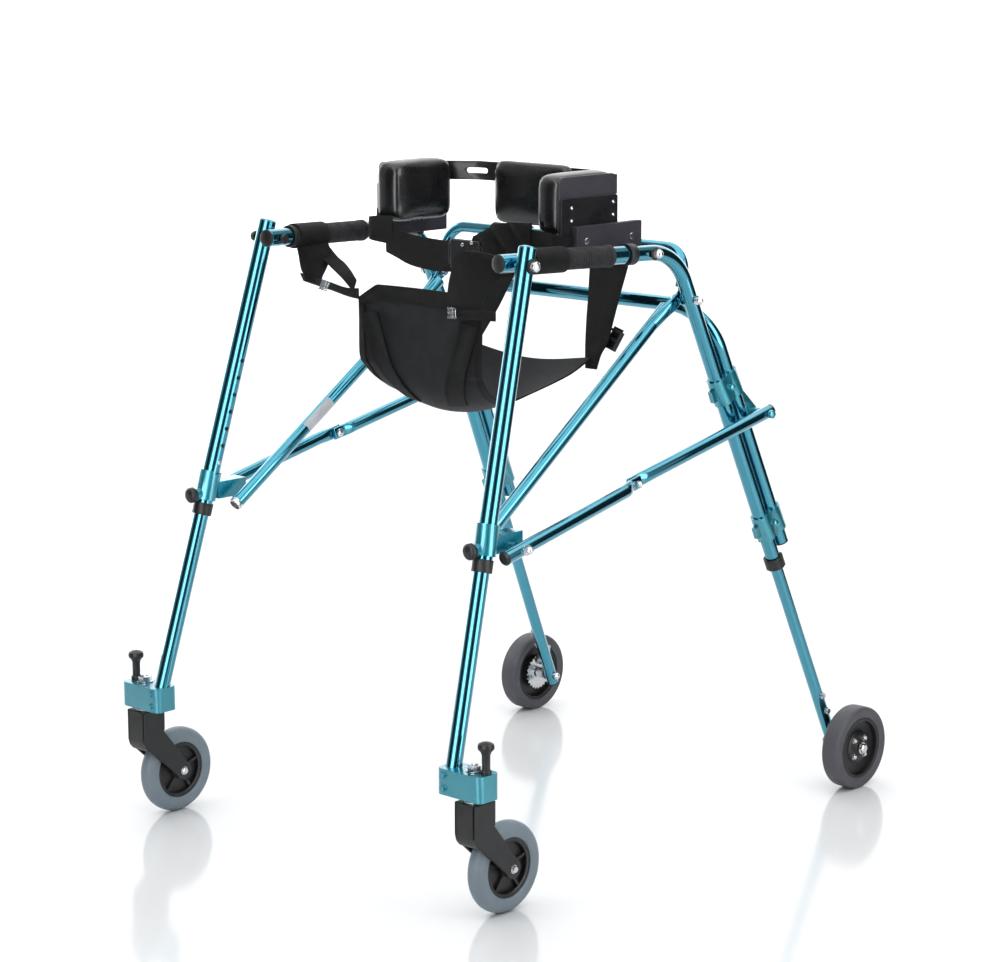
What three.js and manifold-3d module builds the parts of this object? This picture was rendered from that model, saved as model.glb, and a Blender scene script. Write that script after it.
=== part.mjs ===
// Front wheeled walker, a reverse (posterior) walking frame with swivel casters, rear wheels,
// padded hip support and a sling seat.
// Millimetres, +Z up, floor at Z = 0. The user stands inside facing -Y; +X is the user's left.
import * as THREE from 'three';
import Module from 'manifold-3d';

const wasm = await Module();
wasm.setup();

const SIDES = { left: 1, right: -1 };
const GAP = 0.35;
const TUBE_FACETS = 10;
const BORE_FACETS = 12;
const BORE_GAP = 0.6;

// Tube sizes: outer radius and wall.
const WALL = 1.25;
const LEG_R = 12.7;
const FRONT_EXT_R = 11.1;
const SIDE_R = 11.1;
const REAR_EXT_R = 9.5;
const HANDLE_R = 12.7;

// Lines of the legs: each leg is a straight line given by one point and its slope per mm of drop.
const FRONT_LEG = { top: 878, x: 256.7, y: -254.6, splay: 0.0597, rake: -0.2767 };
const REAR_LEG = { top: 716.4, x: 261.4, y: 113.9, splay: 0.0477, rake: 0.4421 };

// Heights along the two legs.
const FRONT_RING_Z = 468;
const FRONT_EXT_TOP_Z = 575;
const FRONT_EXT_BOTTOM_Z = 176;
const REAR_RING_Z = 367;
const REAR_EXT_TOP_Z = 465;
const REAR_EXT_BOTTOM_Z = 50;

// Handle line of the left side.
const HANDLE_FRONT = new THREE.Vector3(229.5, -281, 857);
const HANDLE_CORNER = new THREE.Vector3(255.1, 55.7, 848);
const HANDLE_END_Y = -48;
const BEND_R = 76;

// Pivots of the folding linkage: Y and Z of axes that all run along X.
const LEG_PIVOT = { y: -261, z: 855 };
const STAY_PIVOT = { y: 87, z: 776 };
const BRACE_FRONT_PIVOT = { y: -320, z: 484 };
const BRACE_REAR_PIVOT = { y: 216, z: 600 };
const KNUCKLE = { y: -80, z: 538.5 };

// Casters and rear wheels.
const WHEEL_R = 63.5;
const CASTER_STEM = { x: 335, y: -440 };
const CASTER_TRAIL = 55;
const CASTER_WIDTH = 25;
const REAR_WHEEL = { x: 334, y: 402.5 };
const REAR_WIDTH = 30;
const BRACKET_Z = [172, 208];
const BRACKET = { x: [284, 364], y: [-462, -422], corner: 9, boltX: 298, boltZ: [181, 199] };
const STEM_R = 6;
const LOCK_X = 355;
const LOCK_PIN_R = 4;

// Hip support.
const PAD_THICK = 44;
const BACK_PAD_THICK = 18;
const PAD_Z = [873, 962];
const SIDE_PAD = { x: 136, y: [-112, 14] };
const BACK_PAD = { halfWidth: 76, y: 28 };
const BAR_Y = 47;

// Pins and bolts along X: distances of their ends from the middle plane, and their radii.
const PIVOT_R = 4;
const STAY_BOLT = { inner: 228, outer: 272, radius: 3.8 };
const LEG_BOLT = { inner: 213, outer: 274, headRadius: 7, washerRadius: 9, nutRadius: 7.5 };
const LINK_BOLT = { rearOuter: 308, frontInner: 297.2, frontOuter: 319, spacerRadius: 7 };
const REAR_AXLE = { inner: 283, outer: 352, radius: 5, shoulder: 300, shoulderRadius: 9, headRadius: 8 };
const LINK_R = 9.5;
const FRONT_LINK_X = 308;
const REAR_LINK_X = 296;

const BLUE = { color: 0x27a9cf, roughness: 0.25, metalness: 0.9 };
const BLACK = { color: 0x17181b, roughness: 0.55, metalness: 0.0 };
const STEEL = { color: 0xc9ccd0, roughness: 0.25, metalness: 1.0 };
const GRIP_GREY = { color: 0x3b3b40, roughness: 0.8, metalness: 0.0 };
const TYRE_GREY = { color: 0x8b8d90, roughness: 0.8, metalness: 0.0 };
const TYRE_DARK = { color: 0x4b4d50, roughness: 0.85, metalness: 0.0 };
const VINYL = { color: 0x111214, roughness: 0.35, metalness: 0.0 };
const FABRIC = { color: 0x1b1c20, roughness: 0.9, metalness: 0.0 };

// ---------------------------------------------------------------- solids

function toManifold(geometry) {
  const source = geometry.index ? geometry.toNonIndexed() : geometry;
  const positions = source.getAttribute('position');
  const seen = new Map();
  const vertices = [];
  const triangles = [];
  for (let i = 0; i < positions.count; i += 1) {
    const p = [positions.getX(i), positions.getY(i), positions.getZ(i)];
    const key = p.map((value) => Math.round(value * 1e4)).join(',');
    if (!seen.has(key)) {
      seen.set(key, vertices.length / 3);
      vertices.push(...p);
    }
    triangles.push(seen.get(key));
  }
  const kept = [];
  for (let i = 0; i < triangles.length; i += 3) {
    const [a, b, c] = triangles.slice(i, i + 3);
    if (a !== b && b !== c && a !== c) kept.push(a, b, c);
  }
  const mesh = new wasm.Mesh({
    numProp: 3,
    vertProperties: new Float32Array(vertices),
    triVerts: new Uint32Array(kept),
  });
  return new wasm.Manifold(mesh);
}

function toGeometry(manifold) {
  const mesh = manifold.getMesh();
  const geometry = new THREE.BufferGeometry();
  geometry.setAttribute('position', new THREE.BufferAttribute(new Float32Array(mesh.vertProperties), 3));
  geometry.setIndex(new THREE.BufferAttribute(new Uint32Array(mesh.triVerts), 1));
  return geometry;
}

function join(...parts) {
  return parts.reduce((sum, part) => sum.add(part));
}

function cut(body, ...tools) {
  return tools.reduce((rest, tool) => rest.subtract(tool), body);
}

// ---------------------------------------------------------------- shapes

function vec(x, y, z) {
  return new THREE.Vector3(x, y, z);
}

function frameAlong(direction, upHint) {
  const z = direction.clone().normalize();
  const x = new THREE.Vector3().crossVectors(upHint, z).normalize();
  const y = new THREE.Vector3().crossVectors(z, x);
  return new THREE.Matrix4().makeBasis(x, y, z);
}

// A round rod or, with a bore, a tube from one point to another.
function rod(from, to, radius, facets = TUBE_FACETS, bore = 0) {
  const length = from.distanceTo(to);
  const profile = [
    new THREE.Vector2(bore, 0),
    new THREE.Vector2(radius, 0),
    new THREE.Vector2(radius, length),
    new THREE.Vector2(bore, length),
  ];
  if (bore > 0) profile.push(profile[0].clone());
  return spin(profile, from, to, facets);
}

// A turned piece: profile points are (radius, distance along the axis).
function spin(profile, from, to, facets) {
  const geometry = new THREE.LatheGeometry(profile, facets);
  geometry.rotateX(Math.PI / 2);
  const direction = to.clone().sub(from);
  const upHint = Math.abs(direction.x) > Math.abs(direction.z) ? vec(0, 0, 1) : vec(1, 0, 0);
  const matrix = frameAlong(direction, upHint);
  matrix.setPosition(from);
  geometry.applyMatrix4(matrix);
  const body = toManifold(geometry);
  return body.volume() < 0 ? toManifold(flipped(geometry)) : body;
}

function flipped(geometry) {
  const source = geometry.index ? geometry.toNonIndexed() : geometry;
  const p = source.getAttribute('position');
  for (let i = 0; i < p.count; i += 3) {
    const [x, y, z] = [p.getX(i), p.getY(i), p.getZ(i)];
    p.setXYZ(i, p.getX(i + 1), p.getY(i + 1), p.getZ(i + 1));
    p.setXYZ(i + 1, x, y, z);
  }
  return source;
}

function box(x, y, z) {
  const geometry = new THREE.BoxGeometry(x[1] - x[0], y[1] - y[0], z[1] - z[0]);
  geometry.translate((x[0] + x[1]) / 2, (y[0] + y[1]) / 2, (z[0] + z[1]) / 2);
  return toManifold(geometry);
}

function extruded(shape, span) {
  const depth = span[1] - span[0];
  return new THREE.ExtrudeGeometry(shape, { depth, bevelEnabled: false, curveSegments: 2 });
}

// A flat outline in the YZ plane, given thickness along X.
function plateX(shape, x) {
  const geometry = extruded(shape, x);
  const matrix = new THREE.Matrix4().makeBasis(vec(0, 1, 0), vec(0, 0, 1), vec(1, 0, 0));
  matrix.setPosition(x[0], 0, 0);
  geometry.applyMatrix4(matrix);
  return toManifold(geometry);
}

// A flat outline in the XZ plane, given thickness along Y.
function plateY(shape, y) {
  const geometry = extruded(shape, y);
  const matrix = new THREE.Matrix4().makeBasis(vec(1, 0, 0), vec(0, 0, 1), vec(0, -1, 0));
  matrix.setPosition(0, y[1], 0);
  geometry.applyMatrix4(matrix);
  return toManifold(geometry);
}

function roundedShape(x, y, radius) {
  const shape = new THREE.Shape();
  shape.moveTo(x[0] + radius, y[0]);
  shape.lineTo(x[1] - radius, y[0]);
  shape.absarc(x[1] - radius, y[0] + radius, radius, -Math.PI / 2, 0);
  shape.lineTo(x[1], y[1] - radius);
  shape.absarc(x[1] - radius, y[1] - radius, radius, 0, Math.PI / 2);
  shape.lineTo(x[0] + radius, y[1]);
  shape.absarc(x[0] + radius, y[1] - radius, radius, Math.PI / 2, Math.PI);
  shape.lineTo(x[0], y[0] + radius);
  shape.absarc(x[0] + radius, y[0] + radius, radius, Math.PI, Math.PI * 1.5);
  return shape;
}

// A path through stations, each with its own direction, so a bend keeps its true radius.
class StationPath extends THREE.Curve {
  constructor(stations) {
    super();
    this.stations = stations;
  }

  at(t) {
    return this.stations[Math.round(t * (this.stations.length - 1))];
  }

  getPoint(t) {
    return this.at(t).point.clone();
  }

  getPointAt(t) {
    return this.getPoint(t);
  }

  getTangentAt(t) {
    return this.at(t).tangent.clone();
  }
}

// Stations along straight runs joined by round bends at the inner corners.
function bentStations(corners, radius, bendSteps) {
  const stations = [];
  const add = (point, tangent) => stations.push({ point, tangent: tangent.clone().normalize() });
  const run = (i) => corners[i + 1].clone().sub(corners[i]).normalize();
  add(corners[0].clone(), run(0));
  for (let i = 1; i < corners.length - 1; i += 1) {
    const into = run(i - 1);
    const out = run(i);
    const turn = into.angleTo(out);
    const reach = radius * Math.tan(turn / 2);
    const start = corners[i].clone().addScaledVector(into, -reach);
    const side = out.clone().addScaledVector(into, -out.dot(into)).normalize();
    for (let k = 0; k <= bendSteps; k += 1) {
      const angle = (turn * k) / bendSteps;
      const point = start
        .clone()
        .addScaledVector(into, radius * Math.sin(angle))
        .addScaledVector(side, radius * (1 - Math.cos(angle)));
      const tangent = into.clone().multiplyScalar(Math.cos(angle)).addScaledVector(side, Math.sin(angle));
      add(point, tangent);
    }
  }
  add(corners[corners.length - 1].clone(), run(corners.length - 2));
  return stations;
}

function bentTube(corners, bendRadius, radius, bore, bendSteps = 4) {
  const stations = bentStations(corners, bendRadius, bendSteps);
  const shape = new THREE.Shape();
  shape.absarc(0, 0, radius, 0, Math.PI * 2);
  const hole = new THREE.Path();
  hole.absarc(0, 0, bore, 0, Math.PI * 2, true);
  shape.holes.push(hole);
  const geometry = new THREE.ExtrudeGeometry(shape, {
    steps: stations.length - 1,
    curveSegments: TUBE_FACETS / 2,
    extrudePath: new StationPath(stations),
  });
  const body = toManifold(geometry);
  return body.volume() < 0 ? toManifold(flipped(geometry)) : body;
}

// A dome nut standing on a face: the base centre and the direction it points.
function acornNut(base, direction, radius = 6.5) {
  const profile = [
    new THREE.Vector2(0, 0),
    new THREE.Vector2(radius, 0),
    new THREE.Vector2(radius, radius * 0.8),
    new THREE.Vector2(0, radius * 1.5),
  ];
  return spin(profile, base, base.clone().add(direction), 8);
}

// ---------------------------------------------------------------- lines of the frame

function frontLegAt(side, z) {
  const drop = FRONT_LEG.top - z;
  return vec(side * (FRONT_LEG.x + FRONT_LEG.splay * drop), FRONT_LEG.y + FRONT_LEG.rake * drop, z);
}

function rearLegAt(side, z) {
  const drop = REAR_LEG.top - z;
  return vec(side * (REAR_LEG.x + REAR_LEG.splay * drop), REAR_LEG.y + REAR_LEG.rake * drop, z);
}

function mirrored(side, point) {
  return vec(side * point.x, point.y, point.z);
}

function handleAt(side, y) {
  const share = (y - HANDLE_FRONT.y) / (HANDLE_CORNER.y - HANDLE_FRONT.y);
  return mirrored(side, HANDLE_FRONT.clone().lerp(HANDLE_CORNER, share));
}

// A span along X on one side of the middle plane.
function sideRange(side, x) {
  return side > 0 ? x : [-x[1], -x[0]];
}

// An axis along X: a rod between two distances from the middle plane, on one side.
function crossRod(side, inner, outer, at, radius, facets = 8) {
  return rod(vec(side * inner, at.y, at.z), vec(side * outer, at.y, at.z), radius, facets);
}

// ---------------------------------------------------------------- frame

const MOUNT_BOLT = { y: 3, z: 849.4, outer: 268 };

function sideTube(side) {
  const end = rearLegAt(side, REAR_RING_Z - 8);
  const corners = [mirrored(side, HANDLE_FRONT), mirrored(side, HANDLE_CORNER), end];
  const tube = bentTube(corners, BEND_R, SIDE_R, REAR_EXT_R + BORE_GAP, 5);
  const sleeve = rod(handleAt(side, HANDLE_FRONT.y), handleAt(side, HANDLE_END_Y), HANDLE_R, TUBE_FACETS);
  const plug = rod(handleAt(side, HANDLE_FRONT.y - 3), handleAt(side, HANDLE_FRONT.y + 1), HANDLE_R - 0.7);
  const stayBolt = crossRod(side, STAY_BOLT.inner, STAY_BOLT.outer, STAY_PIVOT, STAY_BOLT.radius);
  const stayNut = acornNut(vec(side * (STAY_BOLT.outer - 1), STAY_PIVOT.y, STAY_PIVOT.z), vec(side, 0, 0));
  const pivotHole = crossRod(side, 205, 290, LEG_PIVOT, PIVOT_R + 0.4);
  const mountHole = crossRod(side, 225, 280, MOUNT_BOLT, PIVOT_R + 0.4);
  return cut(join(tube, sleeve, plug, stayBolt, stayNut), pivotHole, mountHole);
}

function pivotBolt(side) {
  const { inner, outer, headRadius, washerRadius, nutRadius } = LEG_BOLT;
  const shank = crossRod(side, inner, outer, LEG_PIVOT, PIVOT_R);
  const head = crossRod(side, inner - 1, inner + 4, LEG_PIVOT, headRadius, 10);
  const washer = crossRod(side, outer - 2.2, outer + 1, LEG_PIVOT, washerRadius, 10);
  const nut = acornNut(vec(side * outer, LEG_PIVOT.y, LEG_PIVOT.z), vec(side, 0, 0), nutRadius);
  return join(shank, head, washer, nut);
}

const U_OFFSET = 26.2;
const U_BAR_Z = 761;
const U_END_Z = 396;
const U_BEND_R = 70;

// A point straight behind the rear leg, square to it.
function behindRearLeg(side, z, offset) {
  const slope = Math.hypot(1, REAR_LEG.rake);
  const point = rearLegAt(side, z - (offset * REAR_LEG.rake) / slope);
  return point.add(vec(0, offset / slope, (offset * REAR_LEG.rake) / slope));
}

function rearUFrame() {
  const corners = [
    behindRearLeg(1, U_END_Z, U_OFFSET),
    behindRearLeg(1, U_BAR_Z, U_OFFSET),
    behindRearLeg(-1, U_BAR_Z, U_OFFSET),
    behindRearLeg(-1, U_END_Z, U_OFFSET),
  ];
  return bentTube(corners, U_BEND_R, SIDE_R, SIDE_R - WALL);
}

const TOP_BAR = { halfWidth: 237, y: 103, z: 846, radius: 8.4 };
const EYE_X = [240.4, 246.4];

function upperRearBar() {
  const foot = { y: STAY_PIVOT.y + 4, z: STAY_PIVOT.z + 16 };
  const corners = [
    vec(TOP_BAR.halfWidth, foot.y, foot.z),
    vec(TOP_BAR.halfWidth, TOP_BAR.y, TOP_BAR.z),
    vec(-TOP_BAR.halfWidth, TOP_BAR.y, TOP_BAR.z),
    vec(-TOP_BAR.halfWidth, foot.y, foot.z),
  ];
  let bar = bentTube(corners, 36, TOP_BAR.radius, TOP_BAR.radius - WALL);
  for (const side of Object.values(SIDES)) {
    bar = join(bar, eyePlate(side, foot));
  }
  return bar;
}

function eyePlate(side, foot) {
  const shape = new THREE.Shape();
  const half = TOP_BAR.radius;
  shape.absarc(STAY_PIVOT.y, STAY_PIVOT.z, half, Math.PI, Math.PI * 2);
  shape.lineTo(foot.y + half, foot.z + 8);
  shape.lineTo(foot.y - half, foot.z + 8);
  const hole = crossRod(side, 235, 250, STAY_PIVOT, STAY_BOLT.radius + GAP);
  return cut(plateX(shape, sideRange(side, EYE_X)), hole);
}

const CLAMP_LENGTH = 40;
const UPPER_CLAMP_Z = 638;
const LOWER_CLAMP_Z = 424;

// Two-tube clamp that holds the U frame behind the rear leg.
function doubleClamp(side, z) {
  const along = rearLegAt(side, z - 1).sub(rearLegAt(side, z)).normalize();
  const middle = rearLegAt(side, z);
  const back = behindRearLeg(side, z, U_OFFSET).sub(middle).projectOnPlane(along);
  const start = middle.clone().addScaledVector(along, -CLAMP_LENGTH / 2);
  const end = middle.clone().addScaledVector(along, CLAMP_LENGTH / 2);
  const shift = (point) => point.clone().add(back);
  const shell = rod(start, end, SIDE_R + 3.6);
  const shellBack = rod(shift(start), shift(end), SIDE_R + 3.6);
  const web = slab(start, end, back, 2 * SIDE_R + 1.5);
  const reach = (point, sign) => point.clone().addScaledVector(along, sign * 4);
  const bore = rod(reach(start, -1), reach(end, 1), SIDE_R + BORE_GAP, BORE_FACETS);
  const boreBack = rod(reach(shift(start), -1), reach(shift(end), 1), SIDE_R + BORE_GAP, BORE_FACETS);
  const ear = slab(
    middle.clone().addScaledVector(along, -9),
    middle.clone().addScaledVector(along, 9),
    back.clone().normalize().multiplyScalar(-21),
    8,
  );
  const nutBase = middle.clone().addScaledVector(back, 0.5).add(vec(side * (SIDE_R + 0.6), 0, 0));
  const nut = acornNut(nutBase, vec(side, 0, 0), 5.2);
  return cut(join(shell, shellBack, web, ear, nut), bore, boreBack);
}

// A slab standing on the line start-end, reaching by the vector `reach`, with a thickness along X.
function slab(start, end, reach, thickness) {
  const shape = new THREE.Shape();
  shape.moveTo(start.y, start.z);
  shape.lineTo(end.y, end.z);
  shape.lineTo(end.y + reach.y, end.z + reach.z);
  shape.lineTo(start.y + reach.y, start.z + reach.z);
  shape.closePath();
  const x = (start.x + end.x) / 2;
  const body = plateX(shape, [x - thickness / 2, x + thickness / 2]);
  return body.volume() < 0 ? plateX(reversed(shape), [x - thickness / 2, x + thickness / 2]) : body;
}

function reversed(shape) {
  return new THREE.Shape(shape.getPoints().reverse());
}

const REAR_EAR = { x: [264, 274], top: [170, 655], bottom: [180, 618], radius: 10 };

function upperClamp(side) {
  const body = doubleClamp(side, UPPER_CLAMP_Z);
  const at = BRACE_REAR_PIVOT;
  const shape = new THREE.Shape();
  shape.moveTo(...REAR_EAR.top);
  shape.lineTo(...REAR_EAR.bottom);
  shape.absarc(at.y, at.z, REAR_EAR.radius, Math.PI * 1.2, Math.PI * 2.2);
  shape.closePath();
  const ear = plateX(shape, sideRange(side, REAR_EAR.x));
  const legHole = rod(rearLegAt(side, 700), rearLegAt(side, 580), SIDE_R + BORE_GAP, BORE_FACETS);
  const frameHole = rod(
    behindRearLeg(side, 700, U_OFFSET),
    behindRearLeg(side, 570, U_OFFSET),
    SIDE_R + BORE_GAP,
    BORE_FACETS,
  );
  const bolt = crossRod(side, REAR_EAR.x[0], LINK_BOLT.rearOuter, at, PIVOT_R);
  const spacerEnd = REAR_LINK_X - LINK_R - BORE_GAP;
  const spacer = crossRod(side, REAR_EAR.x[1] - 1, spacerEnd, at, LINK_BOLT.spacerRadius);
  const nut = acornNut(vec(side * (LINK_BOLT.rearOuter - 1.6), at.y, at.z), vec(side, 0, 0));
  return join(body, cut(ear, legHole, frameHole), bolt, spacer, nut);
}

function lowerClamp(side) {
  return doubleClamp(side, LOWER_CLAMP_Z);
}

function ringOn(pointAt, side, z, bore, halfHeight, wall) {
  const from = pointAt(side, z - halfHeight);
  const to = pointAt(side, z + halfHeight);
  return rod(from, to, bore + wall, BORE_FACETS, bore + BORE_GAP);
}

function rearLegRing(side) {
  return ringOn(rearLegAt, side, REAR_RING_Z, SIDE_R, 8, 4.2);
}

// ---------------------------------------------------------------- front legs

const HOLE_PITCH = 25.4;
const HOLE_COUNT = 6;
const BUTTON_Z = 532;
const HOLE_R = 3;

function frontLegTube(side) {
  const bottom = frontLegAt(side, FRONT_RING_Z - 9);
  const top = frontLegAt(side, FRONT_LEG.top);
  const tube = rod(bottom, top, LEG_R, TUBE_FACETS, FRONT_EXT_R + GAP);
  const cap = rod(frontLegAt(side, FRONT_LEG.top - 2), frontLegAt(side, FRONT_LEG.top + 1), LEG_R - 0.4);
  const pivotHole = crossRod(side, 235, 285, LEG_PIVOT, PIVOT_R + GAP);
  const holes = [];
  const rise = HOLE_PITCH / Math.hypot(1, FRONT_LEG.splay, FRONT_LEG.rake);
  for (let i = 1; i <= HOLE_COUNT; i += 1) {
    const at = frontLegAt(side, BUTTON_Z + i * rise);
    holes.push(rod(at.clone(), at.clone().add(vec(-side * 20, 0, 0)), HOLE_R, 6));
  }
  const at = frontLegAt(side, BUTTON_Z);
  const button = rod(
    at.clone().add(vec(-side * (FRONT_EXT_R + 0.6), 0, 0)),
    at.clone().add(vec(-side * (LEG_R + 2), 0, 0)),
    HOLE_R,
    8,
  );
  return cut(join(tube, cap, button), pivotHole, ...holes);
}

const COLLAR_Z = [478, 519];
const COLLAR_WALL = 3.3;
const BUTTON_NOTCH = { x: [250, 266], y: [-360, -340], z: [516, 540] };
const LUG = { x: [264, 290], y: [-352, -299], z: [479, 504] };

function legCollar(side) {
  const sleeve = rod(frontLegAt(side, COLLAR_Z[0]), frontLegAt(side, COLLAR_Z[1]), LEG_R + COLLAR_WALL);
  const lug = box(sideRange(side, LUG.x), LUG.y, LUG.z);
  const boss = crossRod(side, 268, 296.4, BRACE_FRONT_PIVOT, 8);
  const bore = rod(frontLegAt(side, 460), frontLegAt(side, 540), LEG_R + BORE_GAP, BORE_FACETS);
  const buttonRelief = box(sideRange(side, BUTTON_NOTCH.x), BUTTON_NOTCH.y, BUTTON_NOTCH.z);
  const plungerHole = rod(knobPoint(side, 5), knobPoint(side, 30), 4.3, 8);
  return cut(join(sleeve, knobBoss(side), lug, boss), bore, plungerHole, buttonRelief);
}

const KNOB_Z = 489;

// Points out from the front of the leg along its own forward direction.
function knobPoint(side, distance) {
  const at = frontLegAt(side, KNOB_Z);
  return at.add(vec(0, -distance, -distance * 0.05));
}

function knobBoss(side) {
  return rod(knobPoint(side, 14), knobPoint(side, 22), 8.5);
}

function collarKnob(side) {
  const shank = rod(knobPoint(side, LEG_R + 2.2), knobPoint(side, 24), 3.8, 8);
  const profile = [
    new THREE.Vector2(0, 0),
    new THREE.Vector2(8, 0),
    new THREE.Vector2(11.5, 3),
    new THREE.Vector2(11.5, 9),
    new THREE.Vector2(8, 12),
    new THREE.Vector2(0, 12),
  ];
  const head = spin(profile, knobPoint(side, 22.6), knobPoint(side, 40), 12);
  return join(shank, head);
}

function frontLegRing(side) {
  return ringOn(frontLegAt, side, FRONT_RING_Z - 3, LEG_R, 8.5, 1.9);
}

function frontExtension(side) {
  return rod(
    frontLegAt(side, FRONT_EXT_BOTTOM_Z),
    frontLegAt(side, FRONT_EXT_TOP_Z),
    FRONT_EXT_R,
    TUBE_FACETS,
    FRONT_EXT_R - WALL,
  );
}

// ---------------------------------------------------------------- casters

function casterBracket(side) {
  const shape = roundedShape(sideRange(side, BRACKET.x), BRACKET.y, BRACKET.corner);
  const geometry = extruded(shape, BRACKET_Z);
  geometry.translate(0, 0, BRACKET_Z[0]);
  const block = toManifold(geometry);
  const legBore = rod(frontLegAt(side, 160), frontLegAt(side, 220), FRONT_EXT_R + BORE_GAP, BORE_FACETS);
  const through = [BRACKET_Z[0] - 12, BRACKET_Z[1] + 12];
  const stemBore = verticalRod(side, CASTER_STEM.x, ...through, STEM_R + 0.9, BORE_FACETS);
  const pinBore = verticalRod(side, LOCK_X, ...through, LOCK_PIN_R + 0.4);
  const boltAt = (z, y) => vec(side * BRACKET.boltX, y, z);
  const [front] = BRACKET.y;
  const bolts = BRACKET.boltZ.map((z) => rod(boltAt(z, front + 1), boltAt(z, front - 4), 4.5, 8));
  return cut(join(block, ...bolts), legBore, stemBore, pinBore);
}

function verticalRod(side, x, from, to, radius, facets = 8) {
  return rod(vec(side * x, CASTER_STEM.y, from), vec(side * x, CASTER_STEM.y, to), radius, facets);
}

function swivelLockPin(side) {
  const base = vec(side * LOCK_X, CASTER_STEM.y, BRACKET_Z[1] + GAP);
  const profile = [
    new THREE.Vector2(0, 0),
    new THREE.Vector2(7, 0),
    new THREE.Vector2(7, 28),
    new THREE.Vector2(11, 33),
    new THREE.Vector2(11, 38),
    new THREE.Vector2(7, 44),
    new THREE.Vector2(0, 44),
  ];
  const knob = spin(profile, base, base.clone().add(vec(0, 0, 10)), 10);
  return join(knob, verticalRod(side, LOCK_X, BRACKET_Z[0] + 1, BRACKET_Z[1] + 3, LOCK_PIN_R));
}

const FORK_ARM = 5;
const FORK_HALF = CASTER_WIDTH / 2 + 1.5 + FORK_ARM;
const AXLE_EYE_R = 14;
const CROWN_Y = [-460, -420];
const CROWN_Z = [134, 167];

function casterFork(side) {
  const centre = { x: side * CASTER_STEM.x, y: CASTER_STEM.y + CASTER_TRAIL, z: WHEEL_R };
  const arm = () => {
    const shape = new THREE.Shape();
    shape.moveTo(CROWN_Y[0], CROWN_Z[1]);
    shape.lineTo(CROWN_Y[0], 122);
    shape.lineTo(centre.y - AXLE_EYE_R, centre.z - 2);
    shape.absarc(centre.y, centre.z, AXLE_EYE_R, Math.PI * 1.1, Math.PI * 2.15);
    shape.lineTo(CROWN_Y[1], 140);
    shape.lineTo(CROWN_Y[1], CROWN_Z[1]);
    shape.closePath();
    return shape;
  };
  const arms = [-1, 1].map((end) => {
    const outer = centre.x + end * FORK_HALF;
    const inner = centre.x + end * (FORK_HALF - FORK_ARM);
    return plateX(arm(), [Math.min(outer, inner), Math.max(outer, inner)]);
  });
  const crown = box([centre.x - FORK_HALF, centre.x + FORK_HALF], CROWN_Y, CROWN_Z);
  const washer = verticalRod(side, CASTER_STEM.x, CROWN_Z[1] - 1, BRACKET_Z[0] - GAP, 17, 12);
  const stem = verticalRod(side, CASTER_STEM.x, CROWN_Z[1] - 1, BRACKET_Z[1] + 8, STEM_R);
  const nut = acornNut(vec(centre.x, CASTER_STEM.y, BRACKET_Z[1] + GAP), vec(0, 0, 1), 10);
  const axle = rod(
    vec(centre.x - FORK_HALF - 3, centre.y, centre.z),
    vec(centre.x + FORK_HALF + 3, centre.y, centre.z),
    4,
    8,
  );
  return join(crown, ...arms, washer, stem, nut, axle);
}

const CASTER_HUB_R = 41;
const REAR_HUB_R = 46;

const TYRE_FACETS = 24;
const HUB_FACETS = 16;

// A tyre as a turned ring; the axis runs along X and a flat facet touches the floor.
function tyre(x, y, width, rim) {
  const facets = TYRE_FACETS;
  const outer = WHEEL_R / Math.cos(Math.PI / facets);
  const half = width / 2;
  const profile = [
    new THREE.Vector2(rim, -half),
    new THREE.Vector2(outer - 7, -half),
    new THREE.Vector2(outer, -half + 7),
    new THREE.Vector2(outer, half - 7),
    new THREE.Vector2(outer - 7, half),
    new THREE.Vector2(rim, half),
    new THREE.Vector2(rim, -half),
  ];
  return spinWheel(profile, x, y, facets);
}

function spinWheel(profile, x, y, facets) {
  const geometry = new THREE.LatheGeometry(profile, facets, Math.PI / facets);
  geometry.rotateZ(-Math.PI / 2);
  geometry.translate(x, y, WHEEL_R);
  const body = toManifold(geometry);
  return body.volume() < 0 ? toManifold(flipped(geometry)) : body;
}

function wheelHub(x, y, width, rim, bore) {
  const half = width / 2;
  const dish = 5;
  const profile = [
    new THREE.Vector2(bore, -half),
    new THREE.Vector2(bore + 10, -half),
    new THREE.Vector2(bore + 14, -half + dish),
    new THREE.Vector2(rim, -half + dish - 2),
    new THREE.Vector2(rim, half - dish + 2),
    new THREE.Vector2(bore + 14, half - dish),
    new THREE.Vector2(bore + 10, half),
    new THREE.Vector2(bore, half),
    new THREE.Vector2(bore, -half),
  ];
  return spinWheel(profile, x, y, HUB_FACETS);
}

function casterTyre(side) {
  return tyre(side * CASTER_STEM.x, CASTER_STEM.y + CASTER_TRAIL, CASTER_WIDTH, CASTER_HUB_R + 1.2);
}

function casterHub(side) {
  return wheelHub(side * CASTER_STEM.x, CASTER_STEM.y + CASTER_TRAIL, CASTER_WIDTH, CASTER_HUB_R, 4.5);
}

// ---------------------------------------------------------------- rear wheels

const PAWL = { y: 392, z: 88, x: [305, 313], radius: 8, post: 3.5 };
const RATCHET_BOLT_Z = [118, 144];

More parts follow.
